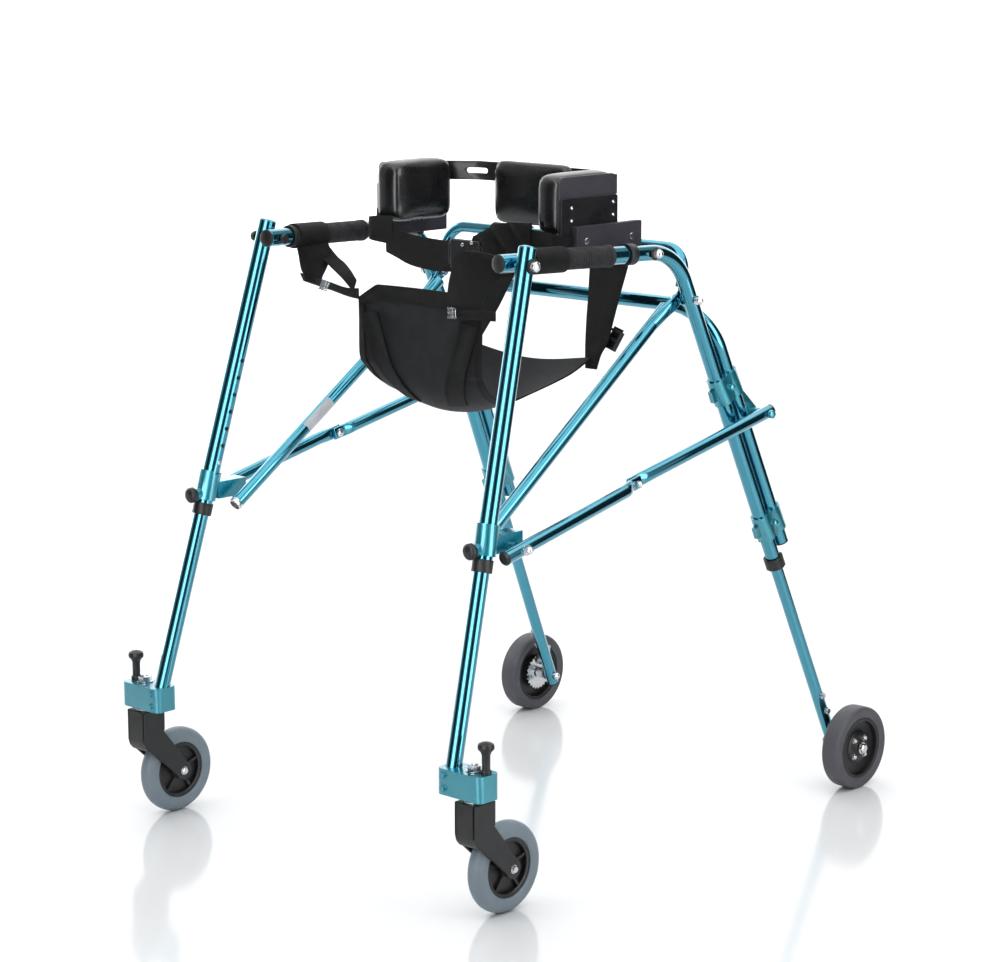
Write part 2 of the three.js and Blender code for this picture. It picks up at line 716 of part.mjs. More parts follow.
function rearExtension(side) {
  const tube = rod(
    rearLegAt(side, REAR_EXT_BOTTOM_Z),
    rearLegAt(side, REAR_EXT_TOP_Z),
    REAR_EXT_R,
    TUBE_FACETS,
    REAR_EXT_R - WALL,
  );
  const at = { y: REAR_WHEEL.y, z: WHEEL_R };
  const axle = crossRod(side, REAR_AXLE.inner, REAR_AXLE.outer, at, REAR_AXLE.radius);
  const hubInner = REAR_WHEEL.x - REAR_WIDTH / 2 - BORE_GAP;
  const hubOuter = REAR_WHEEL.x + REAR_WIDTH / 2 + BORE_GAP;
  const shoulder = crossRod(side, REAR_AXLE.shoulder, hubInner, at, REAR_AXLE.shoulderRadius);
  const head = crossRod(side, hubOuter, REAR_AXLE.outer + 2, at, REAR_AXLE.headRadius);
  const innerNut = acornNut(vec(side * (REAR_AXLE.inner + 1), at.y, at.z), vec(-side, 0, 0), 6);
  const pawlPost = crossRod(side, 292, 314, PAWL, PAWL.post);
  const bolts = RATCHET_BOLT_Z.map((z) => {
    const point = rearLegAt(side, z);
    return rod(point, point.clone().add(vec(side * 14, 0, 0)), 4, 8);
  });
  return join(tube, axle, shoulder, head, innerNut, pawlPost, ...bolts);
}

// Spring pawl that stops the rear wheel from rolling backwards.
function reversePawl(side) {
  const shape = new THREE.Shape();
  shape.absarc(PAWL.y, PAWL.z, PAWL.radius, Math.PI * 0.6, Math.PI * 1.9);
  shape.lineTo(PAWL.y + 22, PAWL.z + 8);
  shape.lineTo(PAWL.y + 24, PAWL.z + 22);
  shape.lineTo(PAWL.y + 12, PAWL.z + 24);
  shape.closePath();
  return cut(plateX(shape, sideRange(side, PAWL.x)), crossRod(side, 300, 318, PAWL, PAWL.post + GAP));
}

function rearTyre(side) {
  return tyre(side * REAR_WHEEL.x, REAR_WHEEL.y, REAR_WIDTH, REAR_HUB_R + 1.2);
}

function rearHub(side) {
  return wheelHub(side * REAR_WHEEL.x, REAR_WHEEL.y, REAR_WIDTH, REAR_HUB_R, 5.5);
}

// ---------------------------------------------------------------- side stays and braces

function onLine(from, to, distance) {
  return from.clone().addScaledVector(to.clone().sub(from).normalize(), distance);
}

const STAY_TONGUE_X = [233.2, 239.8];
const STAY_TUBE_X = [226, 240];
const STAY_END = { y: -343, z: 471.5 };

function diagonalStay(side) {
  const top = vec(side * STAY_TUBE_X[0], STAY_PIVOT.y, STAY_PIVOT.z);
  const end = vec(side * STAY_TUBE_X[1], STAY_END.y, STAY_END.z);
  const tube = rod(onLine(top, end, 20), end, LINK_R, TUBE_FACETS, LINK_R - WALL);
  const cap = rod(onLine(end, top, 1), onLine(end, top, -2), LINK_R - 0.5);
  const tongue = linkTongue(side, STAY_TONGUE_X, STAY_PIVOT, STAY_END, 34);
  const hole = crossRod(side, 215, 250, STAY_PIVOT, STAY_BOLT.radius + GAP);
  const flatten = box(sideRange(side, [STAY_TONGUE_X[1] + 0.1, 260]), [40, 120], [720, 810]);
  return cut(join(tube, cap, tongue), hole, flatten);
}

// A flattened tube end: a rounded strip around a pivot that points at another one.
function linkTongue(side, xRange, pivot, toward, length) {
  const angle = Math.atan2(toward.z - pivot.z, toward.y - pivot.y);
  const half = LINK_R;
  const shape = new THREE.Shape();
  shape.absarc(0, 0, half, Math.PI / 2, Math.PI * 1.5);
  shape.lineTo(length, -half);
  shape.lineTo(length, half);
  shape.closePath();
  const points = shape.getPoints(3).map((p) => {
    const y = pivot.y + p.x * Math.cos(angle) - p.y * Math.sin(angle);
    const z = pivot.z + p.x * Math.sin(angle) + p.y * Math.cos(angle);
    return new THREE.Vector2(y, z);
  });
  return plateX(new THREE.Shape(points), sideRange(side, xRange));
}

const LAP = 26;
const LAP_GAP = 6;

// One half of the lower brace, from its end pivot to the knuckle, with a flat lap at the knuckle.
function braceHalf(side, axisX, pivot, endReach, lapX) {
  const start = vec(side * axisX, pivot.y, pivot.z);
  const knuckle = vec(side * axisX, KNUCKLE.y, KNUCKLE.z);
  const outer = onLine(start, knuckle, -endReach);
  const length = start.distanceTo(knuckle);
  const tube = rod(outer, onLine(start, knuckle, length - LAP + LAP_GAP), LINK_R);
  const tongue = linkTongue(side, lapX, KNUCKLE, pivot, LAP + 6);
  return join(tube, tongue);
}

const LAP_FRONT_X = [299.4, 305.4];
const LAP_REAR_X = [292.4, 298.6];

function braceFront(side) {
  const half = braceHalf(side, FRONT_LINK_X, BRACE_FRONT_PIVOT, 34, LAP_FRONT_X);
  const rivet = crossRod(side, 289, 302, KNUCKLE, PIVOT_R);
  const rivetHead = crossRod(side, 288.6, 291.8, KNUCKLE, 6.5);
  const nut = acornNut(vec(side * 305, KNUCKLE.y, KNUCKLE.z), vec(side, 0, 0), 5);
  const { y, z } = BRACE_FRONT_PIVOT;
  const bolt = crossRod(side, LINK_BOLT.frontInner, LINK_BOLT.frontOuter, { y, z }, PIVOT_R);
  const boltNut = acornNut(vec(side * (LINK_BOLT.frontOuter - 2), y, z), vec(side, 0, 0));
  return join(half, rivet, rivetHead, nut, bolt, boltNut);
}

function braceRear(side) {
  const half = braceHalf(side, REAR_LINK_X, BRACE_REAR_PIVOT, 12, LAP_REAR_X);
  const boltHole = crossRod(side, 280, 312, BRACE_REAR_PIVOT, PIVOT_R + GAP);
  const rivetHole = crossRod(side, 285, 299, KNUCKLE, PIVOT_R + GAP);
  return cut(half, boltHole, rivetHole);
}

// ---------------------------------------------------------------- grips and hip support

const GRIP_Y = [-237, -75];

function handleGrip(side) {
  const from = handleAt(side, GRIP_Y[0]);
  const to = handleAt(side, GRIP_Y[1]);
  const length = from.distanceTo(to);
  const bore = HANDLE_R + BORE_GAP;
  const body = 15.2;
  const flange = 16;
  const profile = [
    new THREE.Vector2(bore, 0),
    new THREE.Vector2(flange, 0),
    new THREE.Vector2(flange, 7),
    new THREE.Vector2(body, 9),
    new THREE.Vector2(body, length - 7),
    new THREE.Vector2(flange, length - 5),
    new THREE.Vector2(flange, length),
    new THREE.Vector2(bore, length),
    new THREE.Vector2(bore, 0),
  ];
  return spin(profile, from, to, 14);
}

const PLATE_X = [181, 186];
const BRACKET_PLATE_X = [185, 189];
const PLATE_Y = [-112, 8];
const BRACKET_PLATE_TOP = 928;
const MOUNT_BLOCK = { x: [188, 199], y: [-90, 49], z: [848, 889] };
const MOUNT_RING = { y: -36, halfLength: 7, wall: 3.6 };

// Carrier of a side pad: back plate, bracket plate, block, clamp ring round the handle, through bolt.
function pelvicMount(side) {
  const plateShape = roundedShape(PLATE_Y, [BRACKET_PLATE_TOP - 48, PAD_Z[1] - 4], 9);
  const plate = plateX(plateShape, sideRange(side, PLATE_X));
  const bracketPlateZ = [MOUNT_BLOCK.z[0] + 18, BRACKET_PLATE_TOP];
  const bracketPlate = box(sideRange(side, BRACKET_PLATE_X), PLATE_Y, bracketPlateZ);
  const block = box(sideRange(side, MOUNT_BLOCK.x), MOUNT_BLOCK.y, MOUNT_BLOCK.z);
  const ringFrom = handleAt(side, MOUNT_RING.y - MOUNT_RING.halfLength);
  const ringTo = handleAt(side, MOUNT_RING.y + MOUNT_RING.halfLength);
  const ring = rod(ringFrom, ringTo, SIDE_R + MOUNT_RING.wall);
  const armY = [MOUNT_RING.y - 6, MOUNT_RING.y + 6];
  const arm = box(sideRange(side, [MOUNT_BLOCK.x[1] - 1, 240]), armY, [846, 856]);
  const boreFrom = handleAt(side, MOUNT_RING.y - 20);
  const boreTo = handleAt(side, MOUNT_RING.y + 20);
  const ringBore = rod(boreFrom, boreTo, SIDE_R + BORE_GAP, BORE_FACETS);
  const bolt = crossRod(side, MOUNT_BLOCK.x[1] - 1, MOUNT_BOLT.outer, MOUNT_BOLT, 4);
  const spacer = crossRod(side, MOUNT_BLOCK.x[1] - 1, 239, MOUNT_BOLT, 8, 12);
  const washer = crossRod(side, MOUNT_BOLT.outer - 4.5, MOUNT_BOLT.outer - 2, MOUNT_BOLT, 8, 10);
  const nutBase = vec(side * (MOUNT_BOLT.outer - 3), MOUNT_BOLT.y, MOUNT_BOLT.z);
  const nut = acornNut(nutBase, vec(side, 0, 0), 7);
  const carrier = cut(join(plate, bracketPlate, block, ring, arm), ringBore);
  return join(carrier, bolt, spacer, nut, washer);
}

function sidePad(side) {
  const shape = roundedShape(SIDE_PAD.y, PAD_Z, 12);
  return plateX(shape, sideRange(side, [SIDE_PAD.x, SIDE_PAD.x + PAD_THICK]));
}

function backPad() {
  const shape = roundedShape([-BACK_PAD.halfWidth, BACK_PAD.halfWidth], [PAD_Z[0] - 6, PAD_Z[1]], 12);
  return plateY(shape, [BACK_PAD.y, BACK_PAD.y + BACK_PAD_THICK]);
}

const BAR_Z = [927, 955];
const BAR_MID_Z = (BAR_Z[0] + BAR_Z[1]) / 2;
const BAR_THICK = 4.5;

// Flat bar behind the back pad whose ends bow forward to the rear faces of the side pads.
function backBar() {
  const middle = BAR_Y + BAR_THICK / 2;
  const end = SIDE_PAD.y[1] + 0.4 + BAR_THICK / 2;
  const line = [[178, end], [160, end], [118, middle - 3], [80, middle]];
  const rows = [...line.map(([x, y]) => [-x, y]), ...line.reverse()].map(([x, y]) => ({
    a: vec(x, y, BAR_Z[0]),
    b: vec(x, y, BAR_Z[1]),
    normal: vec(0, 1, 0),
  }));
  const slots = Object.values(SIDES).map((side) => {
    const slot = roundedShape(sideRange(side, [100, 134]), [BAR_MID_Z - 4, BAR_MID_Z + 4], 3.9);
    return plateY(slot, [BAR_Y - 20, BAR_Y + 12]);
  });
  return cut(band(rows, BAR_THICK), ...slots);
}

// ---------------------------------------------------------------- soft goods

// A closed sheet lofted through rows of points: each row also has the direction of its thickness.
function sheet(rows, thickness) {
  const positions = [];
  const corner = (i, k, layer) =>
    rows[i].points[k].clone().addScaledVector(rows[i].normal, (layer - 0.5) * thickness);
  const quad = (p, q, r, s) => {
    for (const point of [p, q, r, p, r, s]) positions.push(point.x, point.y, point.z);
  };
  const lastRow = rows.length - 1;
  const lastPoint = rows[0].points.length - 1;
  for (let i = 0; i < lastRow; i += 1) {
    for (let k = 0; k < lastPoint; k += 1) {
      quad(corner(i, k, 1), corner(i, k + 1, 1), corner(i + 1, k + 1, 1), corner(i + 1, k, 1));
      quad(corner(i, k + 1, 0), corner(i, k, 0), corner(i + 1, k, 0), corner(i + 1, k + 1, 0));
    }
    quad(corner(i, 0, 0), corner(i, 0, 1), corner(i + 1, 0, 1), corner(i + 1, 0, 0));
    const end = [corner(i, lastPoint, 1), corner(i, lastPoint, 0)];
    quad(...end, corner(i + 1, lastPoint, 0), corner(i + 1, lastPoint, 1));
  }
  for (let k = 0; k < lastPoint; k += 1) {
    quad(corner(0, k, 0), corner(0, k + 1, 0), corner(0, k + 1, 1), corner(0, k, 1));
    quad(corner(lastRow, k, 1), corner(lastRow, k + 1, 1), corner(lastRow, k + 1, 0), corner(lastRow, k, 0));
  }
  const geometry = new THREE.BufferGeometry();
  geometry.setAttribute('position', new THREE.Float32BufferAttribute(positions, 3));
  const body = toManifold(geometry);
  return body.volume() < 0 ? toManifold(flipped(geometry)) : body;
}

// A sheet whose rows run straight from a left edge to a right edge.
function band(rows, thickness) {
  return sheet(rows.map((row) => ({ points: [row.a, row.b], normal: row.normal })), thickness);
}

const SLING = { front: -201, rear: 30, frontTop: 794, rearTop: 684, bottom: 612, turnR: 78 };
const SLING_THICK = 7;
const SLING_CORNER_DROP = 18;
const SLING_EDGE_LIFT = 27;
const SLING_REAR_SAG = 12;
const SLING_COLUMNS = [-1, -0.72, 0, 0.72, 1];

// Hammock profile: straight down at the front, round the bottom, sloping up to the rear edge.
// The side edges are pulled up and in at the bottom, and the rear edge hangs in its middle.
function slingRows() {
  const rows = [];
  const add = (half, y, z, ny, nz, offset) => {
    const normal = vec(0, ny, nz).normalize();
    const points = SLING_COLUMNS.map((u) => vec(half * u, y, z).add(offset(u, normal)));
    rows.push({ points, normal });
  };
  const edgeLift = (share) => (u, normal) => normal.clone().multiplyScalar(SLING_EDGE_LIFT * share * u * u);
  const cornerDrop = (u) => vec(0, 0, Math.abs(u) === 1 ? -SLING_CORNER_DROP : 0);
  const rearSag = (u) => vec(0, 0, -SLING_REAR_SAG * (1 - u * u));
  add(122, SLING.front, SLING.frontTop, 1, 0, cornerDrop);
  add(121, SLING.front, SLING.bottom + SLING.turnR, 1, 0, edgeLift(0));
  const steps = 5;
  const wholeTurn = Math.PI / 2 + 0.6;
  for (let i = 1; i <= steps; i += 1) {
    const angle = (wholeTurn * i) / steps;
    const y = SLING.front + SLING.turnR * (1 - Math.cos(angle));
    const z = SLING.bottom + SLING.turnR * (1 - Math.sin(angle));
    add(121 - 15 * Math.sin(angle), y, z, Math.cos(angle), Math.sin(angle), edgeLift(Math.sin(angle)));
  }
  add(112, SLING.rear - 36, SLING.rearTop - 28, -0.55, 0.83, edgeLift(0.3));
  add(120, SLING.rear, SLING.rearTop, -0.7, 0.7, rearSag);
  return rows;
}

function slingSeat() {
  return sheet(slingRows(), SLING_THICK);
}

const STRAP_LOOP_Y = [-227, -165];
const STRAP_LOOP_R = { inner: 17.2, outer: 20 };

// Cross lines of each front strap below its loop: from beside the handle to the sling's corner.
const FRONT_STRAP_LINES = {
  left: [
    [vec(214, -224, 846), vec(214, -171, 842)],
    [vec(150, -219, 858), vec(185, -190, 832)],
    [vec(92, -213, 856), vec(160, -200, 824)],
    [vec(74, -210, 824), vec(142, -207, 806)],
    [vec(62, -209, 770), vec(120, -209, 768)],
  ],
  right: [
    [vec(-216, -224, 836), vec(-212, -174, 836)],
    [vec(-212, -222, 808), vec(-192, -184, 816)],
    [vec(-176, -216, 788), vec(-158, -196, 802)],
    [vec(-129, -211, 780), vec(-127, -208, 800)],
  ],
};
const STRAP_THICK = 3;

// Rows of a band whose thickness stands square to the way it runs.
function bandRows(lines) {
  const middles = lines.map(([a, b]) => a.clone().lerp(b, 0.5));
  return lines.map(([a, b], i) => {
    const before = middles[Math.max(i - 1, 0)];
    const after = middles[Math.min(i + 1, lines.length - 1)];
    return { a, b, normal: b.clone().sub(a).cross(after.clone().sub(before)).normalize() };
  });
}

// Front strap: a loop round the grip and a band down to the front corner of the sling.
function frontStrap(side) {
  const loopFrom = handleAt(side, STRAP_LOOP_Y[0]);
  const loopTo = handleAt(side, STRAP_LOOP_Y[1]);
  const loop = rod(loopFrom, loopTo, STRAP_LOOP_R.outer, 14, STRAP_LOOP_R.inner);
  const lines = FRONT_STRAP_LINES[side > 0 ? 'left' : 'right'];
  const middle = handleAt(side, (STRAP_LOOP_Y[0] + STRAP_LOOP_Y[1]) / 2);
  const inward = lines[0][0].clone().lerp(lines[0][1], 0.5).sub(middle).setLength(STRAP_LOOP_R.outer - 1.4);
  const halfSpan = vec(0, 21, 0);
  const start = middle.clone().add(inward);
  const first = [start.clone().sub(halfSpan), start.clone().add(halfSpan)];
  return join(loop, band(bandRows([first, ...lines]), STRAP_THICK));
}

// Cross lines of a rear strap below its loop: inner and outer distance from the middle plane, Y, Z.
const REAR_STRAP_LINES = [
  [66, 140, 98, 836],
  [78, 140, 70.5, 768],
  [90, 140, 57.5, 739],
  [100, 142, 42.5, 705],
  [104, 136, 37, 692],
];

// Rear strap: hangs from the top rear bar and runs down to the rear corner of the sling.
function rearStrap(side) {
  const [inner, outer] = REAR_STRAP_LINES[0];
  const loopEnds = [inner, outer].map((x) => vec(side * x, TOP_BAR.y, TOP_BAR.z));
  const loop = rod(...loopEnds, TOP_BAR.radius + 3.6, 12, TOP_BAR.radius + 0.9);
  const rows = REAR_STRAP_LINES.map(([from, to, y, z]) => ({
    a: vec(side * from, y, z),
    b: vec(side * to, y, z),
    normal: vec(0, 0.92, -0.39),
  }));
  return join(loop, band(rows, STRAP_THICK));
}

// Hip belt across the open front, from one side pad to the other, hanging in the middle:
// distance from the middle plane, Y, and the heights of its top and bottom edges.
const BELT_LINES = [
  [131, -102, 892, 838],
  [100, -112, 890, 818],
  [40, -118, 872, 806],
  [-20, -118, 858, 806],
  [-90, -112, 858, 816],
  [-131, -102, 866, 830],
];

function pelvicBelt() {
  const rows = BELT_LINES.map(([x, y, top, bottom]) => ({
    a: vec(x, y, top),
    b: vec(x, y, bottom),
    normal: vec(-x * 0.002, -1, 0).normalize(),
  }));
  return band(rows, 4);
}

// ---------------------------------------------------------------- the walker

const walker = new THREE.Group();
walker.name = 'front_wheeled_walker';

function add(name, body, look) {
  const mesh = new THREE.Mesh(toGeometry(body), new THREE.MeshStandardMaterial(look));
  mesh.name = name;
  walker.add(mesh);
}

const PAIRED = [
  ['side_tube', sideTube, BLUE],
  ['pivot_bolt', pivotBolt, STEEL],
  ['upper_clamp', upperClamp, BLUE],
  ['lower_clamp', lowerClamp, BLUE],
  ['rear_leg_ring', rearLegRing, BLACK],
  ['front_leg', frontLegTube, BLUE],
  ['leg_collar', legCollar, BLUE],
  ['collar_knob', collarKnob, BLACK],
  ['front_leg_ring', frontLegRing, BLACK],
  ['front_extension', frontExtension, BLUE],
  ['caster_bracket', casterBracket, BLUE],
  ['swivel_lock_pin', swivelLockPin, BLACK],
  ['caster_fork', casterFork, BLACK],
  ['caster_tyre', casterTyre, TYRE_GREY],
  ['caster_hub', casterHub, BLACK],
  ['rear_extension', rearExtension, BLUE],
  ['reverse_pawl', reversePawl, STEEL],
  ['rear_tyre', rearTyre, TYRE_DARK],
  ['rear_hub', rearHub, BLACK],
  ['diagonal_stay', diagonalStay, BLUE],
  ['brace_front', braceFront, BLUE],
  ['brace_rear', braceRear, BLUE],
  ['handle_grip', handleGrip, GRIP_GREY],
  ['pelvic_mount', pelvicMount, BLACK],
  ['side_pad', sidePad, VINYL],
  ['front_strap', frontStrap, FABRIC],
  ['rear_strap', rearStrap, FABRIC],
];

for (const [name, build, look] of PAIRED) {
  for (const [label, side] of Object.entries(SIDES)) {
    add(`${name}_${label}`, build(side), look);
  }
}
add('rear_u_frame', rearUFrame(), BLUE);
add('upper_rear_bar', upperRearBar(), BLUE);
add('back_pad', backPad(), VINYL);
add('back_bar', backBar(), BLACK);
add('sling_seat', slingSeat(), FABRIC);
add('pelvic_belt', pelvicBelt(), FABRIC);

export default walker;
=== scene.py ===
"""Looks of the front wheeled walker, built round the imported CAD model.

Lengths in the functions are millimetres and turn into metres in add_piece. +Z is up, the floor
is Z = 0, the user faces -Y and the user's left is +X, as in the CAD model.
"""
import math

import bmesh
import bpy
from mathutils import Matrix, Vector, noise


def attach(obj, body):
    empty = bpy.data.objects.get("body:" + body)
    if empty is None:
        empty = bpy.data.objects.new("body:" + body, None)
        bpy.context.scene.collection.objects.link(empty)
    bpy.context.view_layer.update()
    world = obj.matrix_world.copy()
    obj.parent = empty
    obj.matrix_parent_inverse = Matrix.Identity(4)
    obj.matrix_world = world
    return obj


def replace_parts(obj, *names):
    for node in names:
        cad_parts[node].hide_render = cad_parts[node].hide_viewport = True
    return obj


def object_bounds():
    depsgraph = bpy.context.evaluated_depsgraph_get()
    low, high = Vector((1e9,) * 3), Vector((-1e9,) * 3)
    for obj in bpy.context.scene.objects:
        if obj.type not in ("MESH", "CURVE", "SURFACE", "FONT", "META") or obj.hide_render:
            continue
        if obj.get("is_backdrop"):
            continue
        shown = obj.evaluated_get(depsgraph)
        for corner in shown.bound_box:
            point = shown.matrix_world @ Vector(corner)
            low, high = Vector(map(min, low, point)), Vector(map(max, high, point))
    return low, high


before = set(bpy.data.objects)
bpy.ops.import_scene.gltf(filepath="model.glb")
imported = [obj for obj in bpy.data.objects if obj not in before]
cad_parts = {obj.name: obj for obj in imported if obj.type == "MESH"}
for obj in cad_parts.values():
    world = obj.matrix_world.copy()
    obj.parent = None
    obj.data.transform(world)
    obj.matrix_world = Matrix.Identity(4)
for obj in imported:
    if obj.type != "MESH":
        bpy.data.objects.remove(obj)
CAD_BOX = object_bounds()

MM = 0.001
SIDES = {"left": 1, "right": -1}

# Sizes shared with the CAD model.
WALL = 1.25
LEG_R = 12.7
FRONT_EXT_R = 11.1
SIDE_R = 11.1
REAR_EXT_R = 9.5
LINK_R = 9.5
TOP_BAR_R = 8.4
WHEEL_R = 63.5

FRONT_LEG = {"top": 878, "x": 256.7, "y": -254.6, "splay": 0.0597, "rake": -0.2767}
REAR_LEG = {"top": 716.4, "x": 261.4, "y": 113.9, "splay": 0.0477, "rake": 0.4421}
HANDLE_FRONT = Vector((229.5, -281, 857))
HANDLE_CORNER = Vector((255.1, 55.7, 848))

LEG_PIVOT = (-261, 855)
STAY_PIVOT = (87, 776)
STAY_END = (-343, 471.5)
BRACE_FRONT_PIVOT = (-320, 484)
BRACE_REAR_PIVOT = (216, 600)
KNUCKLE = (-80, 538.5)
CASTER_AXLE = (335, -385)
CASTER_STEM = (335, -440)
REAR_AXLE = (334, 402.5)

HANDLE_Y = (-281, -48)
GRIP_Y = (-237, -75)
FRONT_LEG_Z = (459, 878)
FRONT_EXT_Z = (176, 575)
REAR_LEG_END_Z = 359
REAR_EXT_Z = (50, 465)
BUTTON_Z = 532
HOLE_COUNT = 6
HOLE_PITCH = 25.4
HOOP = {"offset": 26.2, "bar_z": 761, "end_z": 396, "bend": 70}
TOP_BAR = {"half": 237, "y": 103, "z": 846, "bend": 36}
TOP_BAR_FOOT = (91, 792)
EYE_X = (240.4, 246.4)
FRONT_LINK_X = 308
REAR_LINK_X = 296
PAWL_POST = (392, 88)
RATCHET_BOLT_Z = (118, 144)
CROWN_TOP_Z = 167
LOCK_X = 355


# ------------------------------------------------------------------ lines of the frame

def on_leg(leg, side, z):
    drop = leg["top"] - z
    return Vector((side * (leg["x"] + leg["splay"] * drop), leg["y"] + leg["rake"] * drop, z))


def front_leg_at(side, z):
    return on_leg(FRONT_LEG, side, z)


def rear_leg_at(side, z):
    return on_leg(REAR_LEG, side, z)


def handle_at(side, y):
    share = (y - HANDLE_FRONT.y) / (HANDLE_CORNER.y - HANDLE_FRONT.y)
    return mirrored(side, HANDLE_FRONT.lerp(HANDLE_CORNER, share))


def mirrored(side, point):
    return Vector((side * point[0], point[1], point[2]))


def at_x(side, x, point):
    """A place on an axis along X that passes through the (y, z) point."""
    return Vector((side * x, *point))


def behind_rear_leg(side, z, offset=HOOP["offset"]):
    rake = REAR_LEG["rake"]
    slope = math.hypot(1, rake)
    point = rear_leg_at(side, z - offset * rake / slope)
    return point + Vector((0, offset / slope, offset * rake / slope))


# ------------------------------------------------------------------ materials

class Surface:
    """A Principled material, with short ways to add the noise and bump that give it detail."""

    def __init__(self, name, colour, roughness, metallic=0.0, **sockets):
        self.material = bpy.data.materials.new(name)
        self.material.use_nodes = True
        self.tree = self.material.node_tree
        self.shader = self.tree.nodes["Principled BSDF"]
        self.put("Base Color", (*colour, 1.0))
        self.put("Roughness", roughness)
        self.put("Metallic", metallic)
        for socket, value in sockets.items():
            self.put(socket.replace("_", " "), value)
        self.normal = None

    def put(self, socket, value):
        self.shader.inputs[socket].default_value = value

    def node(self, kind, **inputs):
        made = self.tree.nodes.new(kind)
        for name, value in inputs.items():
            self.feed(made.inputs[name.replace("_", " ")], value)
        return made

    def feed(self, socket, value):
        if isinstance(value, bpy.types.NodeSocket):
            self.tree.links.new(value, socket)
        else:
            socket.default_value = value

    def coords(self, kind="Object", scale=(1, 1, 1)):
        source = self.node("ShaderNodeTexCoord").outputs[kind]
        mapping = self.node("ShaderNodeMapping", Vector=source, Scale=scale)
        return mapping.outputs["Vector"]

    def noise(self, vector, scale, detail=3.0, roughness=0.5):
        made = self.node("ShaderNodeTexNoise", Vector=vector, Scale=scale, Detail=detail, Roughness=roughness)
        return made.outputs["Fac"]

    def cells(self, vector, scale, feature="F1"):
        made = self.node("ShaderNodeTexVoronoi", Vector=vector, Scale=scale)
        made.feature = feature
        return made.outputs["Distance"]

    def math(self, operation, a, b=0.0):
        made = self.node("ShaderNodeMath")
        made.operation = operation
        self.feed(made.inputs[0], a)
        self.feed(made.inputs[1], b)
        return made.outputs["Value"]

    def spread(self, value, low, high):
        made = self.node("ShaderNodeMapRange", Value=value)
        made.inputs["From Min"].default_value = 0.3
        made.inputs["From Max"].default_value = 0.7
        made.inputs["To Min"].default_value = low
        made.inputs["To Max"].default_value = high
        return made.outputs["Result"]

    def blend(self, factor, dark, light):
        ramp = self.node("ShaderNodeValToRGB", Fac=factor)
        ramp.color_ramp.elements[0].color = (*dark, 1.0)
        ramp.color_ramp.elements[1].color = (*light, 1.0)
        ramp.color_ramp.elements[0].position = 0.3
        ramp.color_ramp.elements[1].position = 0.7
        return ramp.outputs["Color"]

    def colour(self, socket):
        self.feed(self.shader.inputs["Base Color"], socket)
        return self

    def rough(self, socket):
        self.feed(self.shader.inputs["Roughness"], socket)
        return self

    def bump(self, height, distance, strength=1.0):
        made = self.node("ShaderNodeBump", Height=height, Distance=distance, Strength=strength)
        if self.normal is not None:
            self.feed(made.inputs["Normal"], self.normal)
        self.normal = made.outputs["Normal"]
        self.feed(self.shader.inputs["Normal"], self.normal)
        return self


def tube_surface(name, colour, roughness, metallic):
    """Bright dipped aluminium: a clear coloured film, with soft unevenness in gloss and depth."""
    coat = {"Coat_Weight": 1.0, "Coat_Roughness": 0.03, "Coat_IOR": 1.7}
    made = Surface(name, colour, roughness, metallic, **coat)
    vector = made.coords()
    patches = made.noise(vector, 14.0)
    made.rough(made.spread(patches, roughness * 0.75, roughness * 1.3))
    deep = tuple(value * 0.82 for value in colour)
    made.colour(made.blend(made.noise(vector, 6.0), deep, colour))
    made.bump(made.noise(vector, 60.0), 0.00012, 0.25)
    return made.material


def plastic_surface(name, colour, roughness, grain=1400.0, depth=0.00012):
    """Moulded plastic: fine pebbled grain and faint flow marks."""
    made = Surface(name, colour, roughness)
    vector = made.coords()
    made.rough(made.spread(made.noise(vector, 40.0), roughness * 0.85, roughness * 1.2))
    pale = tuple(value * 1.4 + 0.002 for value in colour)
    made.colour(made.blend(made.noise(vector, 25.0), colour, pale))
    made.bump(made.cells(vector, grain), depth, 0.5)
    return made.material


def steel_surface(name, colour, roughness):
    made = Surface(name, colour, roughness, 1.0)
    vector = made.coords()
    made.rough(made.spread(made.noise(vector, 220.0), roughness * 0.6, roughness * 1.6))
    made.bump(made.noise(vector, 900.0), 0.00008, 0.3)
    return made.material


def rubber_surface(name, colour, roughness):
    """Moulded polyurethane: slightly cloudy colour, scuffs on the tread."""
    made = Surface(name, colour, roughness, Specular_IOR_Level=0.4)
    vector = made.coords()
    pale = tuple(min(1.0, value * 1.18 + 0.004) for value in colour)
    cloud = made.noise(vector, 30.0, 5.0)
    made.colour(made.blend(cloud, colour, pale))
    made.rough(made.spread(made.noise(vector, 90.0), roughness * 0.8, roughness * 1.2))
    made.bump(made.noise(vector, 500.0, 4.0), 0.0002, 0.5)
    return made.material


def vinyl_surface():
    """Glossy black upholstery vinyl with a fine leather grain."""
    made = Surface("vinyl_skin", (0.006, 0.006, 0.007), 0.24, Coat_Weight=0.35, Coat_Roughness=0.12)
    vector = made.coords()
    made.rough(made.spread(made.noise(vector, 25.0), 0.24, 0.34))
    made.bump(made.cells(vector, 700.0), 0.00005, 0.35)
    return made.material


def weave_height(made, vector, pitch):
    """Height of a plain weave in a plane whose coordinates are metres."""
    turns = 2 * math.pi / (pitch * MM)
    parts = made.node("ShaderNodeSeparateXYZ", Vector=vector)
    across = made.math("SINE", made.math("MULTIPLY", parts.outputs["X"], turns))
    along = made.math("SINE", made.math("MULTIPLY", parts.outputs["Y"], turns))
    return made.math("MULTIPLY", across, along)


